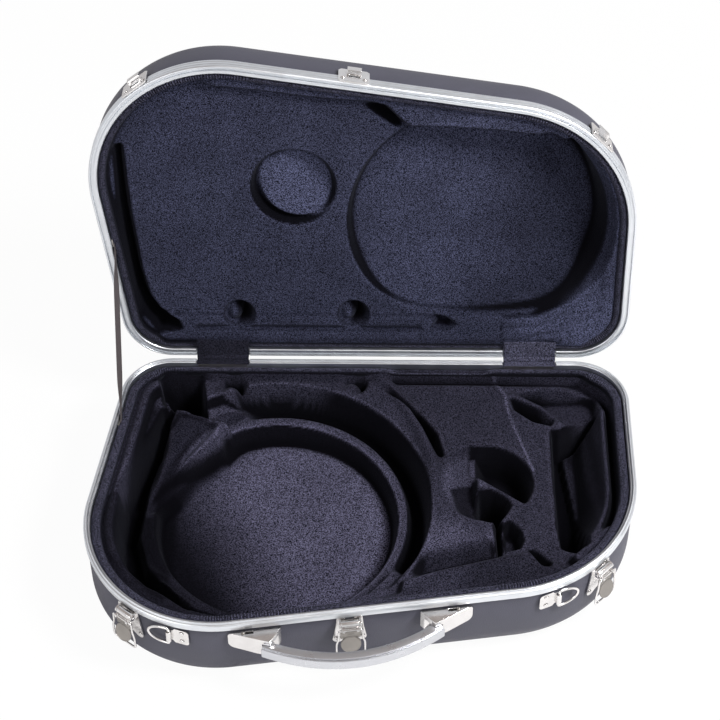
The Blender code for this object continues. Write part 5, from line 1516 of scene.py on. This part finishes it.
PIN_PROFILE = ((0.0, -37.5), (1.1, -37.5), (1.1, -11.7), (2.0, -11.7), (2.0, -11.2), (1.7, -10.75),
               (1.1, -10.52), (0.0, -10.5))
put = on_seat(*front_place(-10.0))
grip_grids = [(put(grip_shell()), True, False)]
for side in (-1.0, 1.0):
    for near, far, out, half_z in ((82.5, 88.5, (5.4, 12.0), 3.7), (83.5, 94.0, (5.45, 7.4), 3.5)):
        part = block(sorted((side * near, side * far)), out, (GRIP_Z - half_z, GRIP_Z + half_z))
        grip_grids.append((put(part), True, False))
make("handle_grip_fine", grip_grids, GRIP, "grip", ["handle_grip"], sharp=28.0)
# The handle's pins take the thumb discs' dark finish as painted shade, for the dark slit where the grip's ends
# enter the brackets.
for name, side in (("left", -1.0), ("right", 1.0)):
    pin = turned(PIN_PROFILE, 24) + np.array((side * PIN_S, 2.7, 0.0))
    make(f"handle_pin_{name}_fine", [(put(pin), True, False)], DISC_AND_PIN_SHADE, f"grip_pin_{name}",
         [f"handle_pin_{name}"])
print("rings of points in the grip:", len(grip_grids[0][0]))

# %% [markdown]
# ## Hinge flaps
# A strip of plush cloth covers each hinge: it lies on the base's rim, turns round the knuckles
# and runs up inside the open lid. It is one sheet that bends as the lid closes, so its lower
# part follows the base and its upper part the lid. Simulated cloth could drape over the hinge,
# but a sheet bends best when its middle line is evenly divided, so that line is worked out.

# %% Flaps
FLAP_HALF = 28.75
FLAP_THICK = 1.1
# Painted shade: the left flap is painted darker than the right, though both are one cloth.
FLAP_PAINTED_SHADE = {"left": 0.19, "right": 0.74}


def flap_line():
    """Middle line of a flap as (y, z) points, finely spaced, from the base to the lid."""
    bend = 2.9
    lies = 0.9
    dip = math.degrees(math.asin(lies / bend))
    start = np.array(((-8.4, AXIS[2] - lies), (-5.0, AXIS[2] - lies)))
    turn = arc((AXIS[1], AXIS[2]), bend, 180.0 + dip, 180.0 - dip - math.degrees(OPENING), 24)
    far = np.array((0.0, -21.0, AXIS[2] + lies)) - AXIS
    c, s = math.cos(OPENING), math.sin(OPENING)
    end = np.array((c * far[1] + s * far[2] + AXIS[1], c * far[2] - s * far[1] + AXIS[2]))
    path = np.vstack((start, turn, end))
    length = np.append(0.0, np.cumsum(np.linalg.norm(np.diff(path, axis=0), axis=1)))
    marks = np.linspace(0.0, length[-1], 52)
    return np.stack([np.interp(marks, length, path[:, k]) for k in range(2)], axis=1), length[-1]


def flap(side, x):
    """A flap as one closed sheet: its two faces, joined at both ends, and a strip at each side."""
    line, length = flap_line()
    ahead = np.gradient(line, axis=0)
    ahead /= np.linalg.norm(ahead, axis=1)[:, None]
    normal = np.stack((-ahead[:, 1], ahead[:, 0]), axis=1)
    u, v = np.meshgrid(np.linspace(0.0, 1.0, len(line)), np.linspace(-1.0, 1.0, 72), indexing="ij")
    swell = 0.22 * np.sin(9.0 * u + 2.1 * v + x) * np.sin(3.0 * v + 0.5) + 0.12 * np.sin(23.0 * v + 4.0 * u)
    swell = swell * smooth(u, 0.3, 0.6)
    ends = smooth(1.0 - np.abs(v), 0.0, 0.05) * smooth(np.minimum(u, 1.0 - u), 0.0, 0.03)
    half = FLAP_THICK / 2.0 * (0.35 + 0.65 * ends)
    side_x = x + FLAP_HALF * v * (1.0 + 0.006 * np.sin(17.0 * u + x))

    def face(offset):
        """The middle line moved by an offset along its normal."""
        return np.stack((side_x, line[:, 0, None] + normal[:, 0, None] * offset,
                         line[:, 1, None] + normal[:, 1, None] * offset), axis=-1)
    upper, lower = face(half + swell), face(-half + swell)
    faces = np.concatenate((upper, lower[::-1]), axis=0)
    strips = [np.stack((upper[:, k], lower[:, k]), axis=1) for k in (0, -1)]
    grids = [(in_base(faces), False, True), *[(in_base(strip), False, False) for strip in strips]]
    piece = make(f"hinge_flap_{side}_cloth", grids, FLAP_PLUSH, None,
                 [f"hinge_flap_{side}"], sharp=180.0, merge=0.02)
    give_values(piece.data, "shade", np.full(len(piece.data.vertices), FLAP_PAINTED_SHADE[side]))
    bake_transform(piece, "base", "lid", start=tuple(in_base((x, -2.2, 0.8))), end=tuple(in_base((x, 1.6, 5.0))))


for side, x in HINGE_X.items():
    flap(side, x)
print("length of a flap, mm:", float(flap_line()[1].round(2)))

# %% [markdown]
# ## Stay strap
# A narrow woven ribbon from the left wall of the base to the left wall of the lid keeps the lid
# from falling back. It is flat at both anchors and turns a little between them. When the lid
# closes, the real ribbon folds down into the base.

# %% Ribbon
ANCHOR_THICK, ANCHOR_GAP, RIBBON_THICK, RIBBON_TAIL = 1.2, 1.0, 0.8, 3.0
RIBBON_TWIST = 1.15
LEFT_WALL = outward(edge_direction(0))
ANCHORS = {"base": (-90.0, 6.9, -6.4), "lid": (-144.0, 9.3, 6.4)}


def left_wall_place(y):
    """The place on the straight left edge at a given y."""
    start, end = CORNERS[0], CORNERS[1]
    return start + (y - start[1]) / (end[1] - start[1]) * (end - start)


def ribbon_end(body):
    """Middle of the ribbon at an anchor: behind the rim by its inset, the anchor and the gap."""
    y, inset, z = ANCHORS[body]
    inset += ANCHOR_THICK + ANCHOR_GAP + RIBBON_THICK / 2.0
    return MOUNT[body]((*(left_wall_place(y) - LEFT_WALL * inset), z))


low_end = ribbon_end("base")
taut = ribbon_end("lid") - low_end
length = np.linalg.norm(taut)
run = taut / length
wide = np.cross(run, (*LEFT_WALL, 0.0))
wide /= np.linalg.norm(wide)
thick = np.cross(wide, run)
stations = np.linspace(-RIBBON_TAIL * MM, length + RIBBON_TAIL * MM, 160)
half = [(3.0, 0.0), (2.9, 0.3), (2.5, 0.4), (0.0, 0.4), (-2.5, 0.4), (-2.9, 0.3), (-3.0, 0.0)]
section = np.array([*half, *[(w, -t) for w, t in half[-2:0:-1]]]) * MM
share = stations / length
twist = RIBBON_TWIST * (smooth(share, 0.08, 0.3) * smooth(share, 0.92, 0.7))[:, None]
turned_wide = np.cos(twist) * wide + np.sin(twist) * thick
turned_thick = np.cos(twist) * thick - np.sin(twist) * wide
grid = (low_end + stations[:, None, None] * run + section[None, :, :1] * turned_wide[:, None]
        + section[None, :, 1:] * turned_thick[:, None])
ends = [np.broadcast_to(grid[k].mean(axis=0), grid[k].shape)[None] for k in (0, -1)]
grid = np.concatenate((ends[0], grid, ends[1]))
mesh = bpy.data.meshes.new("stay_strap_ribbon")
mesh.from_pydata(grid.reshape(-1, 3).tolist(), [], quads(*grid.shape[:2], True, False).tolist())
give_values(mesh, "along", (grid - low_end) @ run / MM)
give_values(mesh, "across", np.broadcast_to(section[None, :, 0], grid.shape[:2]) / MM)
strap = finished("stay_strap_ribbon", mesh, RIBBON, "base", ["stay_strap"], sharp=180.0)
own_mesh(strap)

for body, (y, inset, z) in ANCHORS.items():
    put = on_seat(left_wall_place(y), LEFT_WALL, MOUNT[body])
    head_out = -(inset + ANCHOR_THICK + ANCHOR_GAP + RIBBON_THICK + 1.0)
    rivet(f"strap_rivet_{body}", put, 0.0, z, head_out, 1.1 - inset, body, WORN_NICKEL)
print("ribbon between its ends, mm:", float((length / MM).round(2)))

# %% [markdown]
# Whatever CAD node is still shown, such as a hinge pin, takes the worn nickel finish.

# %% The rest
dressed = 0
for name, node in NODES.items():
    if not node.hide_render:
        node.data.materials.clear()
        node.data.materials.append(WORN_NICKEL)
        dressed += 1
print("CAD nodes shown as they are:", dressed)

# %% [markdown]
# ## Camera
# The photograph was taken from the front and well above, a little to the right, with a long
# lens. The camera's angles, distance and lens were fitted to the two outlines of the case.

# %% Camera at the photograph's angle
LENS = 103.66
DISTANCE = 2306.6
TARGET = in_base((-4.5, -1.2, 0.0))
ELEVATION, YAW, ROLL = (math.radians(a) for a in (48.02, 0.70, -0.11))
back = np.array((math.sin(YAW) * math.cos(ELEVATION), -math.cos(YAW) * math.cos(ELEVATION),
                 math.sin(ELEVATION)))
right = np.array((math.cos(YAW), math.sin(YAW), 0.0))
up = np.cross(back, right)
rolled_right = math.cos(ROLL) * right + math.sin(ROLL) * up
rolled_up = np.cross(back, rolled_right)
camera = bpy.data.objects.new("camera", bpy.data.cameras.new("camera"))
camera.data.lens = LENS
camera.data.sensor_width = 36.0
camera.data.clip_end = 50.0
bpy.context.scene.collection.objects.link(camera)
camera.matrix_world = Matrix([(*row, place) for row, place in
                              zip(np.stack((rolled_right, rolled_up, back), axis=1).tolist(),
                                  (TARGET + back * DISTANCE * MM).tolist())] + [(0.0, 0.0, 0.0, 1.0)])
scene = bpy.context.scene
scene.camera = camera
print("camera at, m:", [round(number, 3) for number in camera.matrix_world.translation])

# %% [markdown]
# ## Floor, light and world
# The case stands on a white floor, which turns pure white where the camera looks at it and
# keeps the case's shadow. One light hangs at the upper right, so the pockets' right walls lie in
# shade, and a weak, broad one fills from the front left. The world is white with a warm grey
# part overhead, which gives the metal something to show.

# %% Stage
FLOOR_HALF = 3.0


def floor_finish():
    """White paint that glows at full white for the camera and takes light as paint otherwise."""
    finish = Finish("floor_white", roughness=0.9, base_color=(0.80, 0.80, 0.80))
    rays = add_node(finish.tree, "ShaderNodeLightPath")
    glow = add_node(finish.tree, "ShaderNodeEmission", None, {"Color": (1.0, 1.0, 1.0, 1.0), "Strength": 1.0})
    uneven = 0.95 + 0.01 * finish.noise(2.0, 0.0)
    blend = add_node(finish.tree, "ShaderNodeMixShader", None,
                     {0: rays * uneven, 1: Field(finish.tree, finish.shader.outputs[0]), 2: glow})
    output = finish.tree.nodes["Material Output"]
    finish.tree.links.new(blend.socket, output.inputs["Surface"])
    return finish.material


floor_mesh = bpy.data.meshes.new("floor")
corners = [(FLOOR_HALF * x, FLOOR_HALF * y, 0.0) for x, y in ((-1, -1), (1, -1), (1, 1), (-1, 1))]
floor_mesh.from_pydata(corners, [], [(0, 1, 2, 3)])
floor_mesh.materials.append(floor_finish())
floor = bpy.data.objects.new("floor", floor_mesh)
scene.collection.objects.link(floor)


def area_light(name, place, size, power):
    """A round white light that looks at the middle of the case."""
    light = bpy.data.lights.new(name, "AREA")
    light.shape = "DISK"
    light.size = size
    light.energy = power
    lamp = bpy.data.objects.new(name, light)
    lamp.location = place
    lamp.rotation_euler = (Vector(place) - LIGHT_AIM).to_track_quat("Z", "Y").to_euler()
    scene.collection.objects.link(lamp)


LIGHT_AIM = Vector((0.0, 0.0, 0.1))
area_light("key", (1.25, -0.55, 2.0), 0.7, 62.0)
area_light("fill", (-1.3, -1.6, 1.3), 1.4, 12.0)

world = bpy.data.worlds.new("white_room")
scene.world = world
world.use_nodes = True
tree = world.node_tree
height = add_node(tree, "ShaderNodeSeparateXYZ", None, {"Vector": add_node(tree, "ShaderNodeTexCoord")}, 2)
sky = mixed(height.between(0.35, 0.8), (1.0, 1.01, 1.05), (0.52, 0.47, 0.45))
rays = add_node(tree, "ShaderNodeLightPath")
seen = mixed(rays, sky, (1.0, 1.0, 1.0))
background = tree.nodes["Background"]
tree.links.new(seen.socket, background.inputs["Color"])
background.inputs["Strength"].default_value = 0.78
white_backdrop = add_node(tree, "ShaderNodeBackground", None,
                          {"Color": (1.0, 1.0, 1.0, 1.0), "Strength": 1.0})
chosen = add_node(tree, "ShaderNodeMixShader", None,
                  {0: rays, 1: Field(tree, background.outputs[0]), 2: white_backdrop})
tree.links.new(chosen.socket, tree.nodes["World Output"].inputs["Surface"])
scene.view_settings.view_transform = "Standard"
scene.render.resolution_x = 720
scene.render.resolution_y = 720
print("lamps:", len(bpy.data.lights))
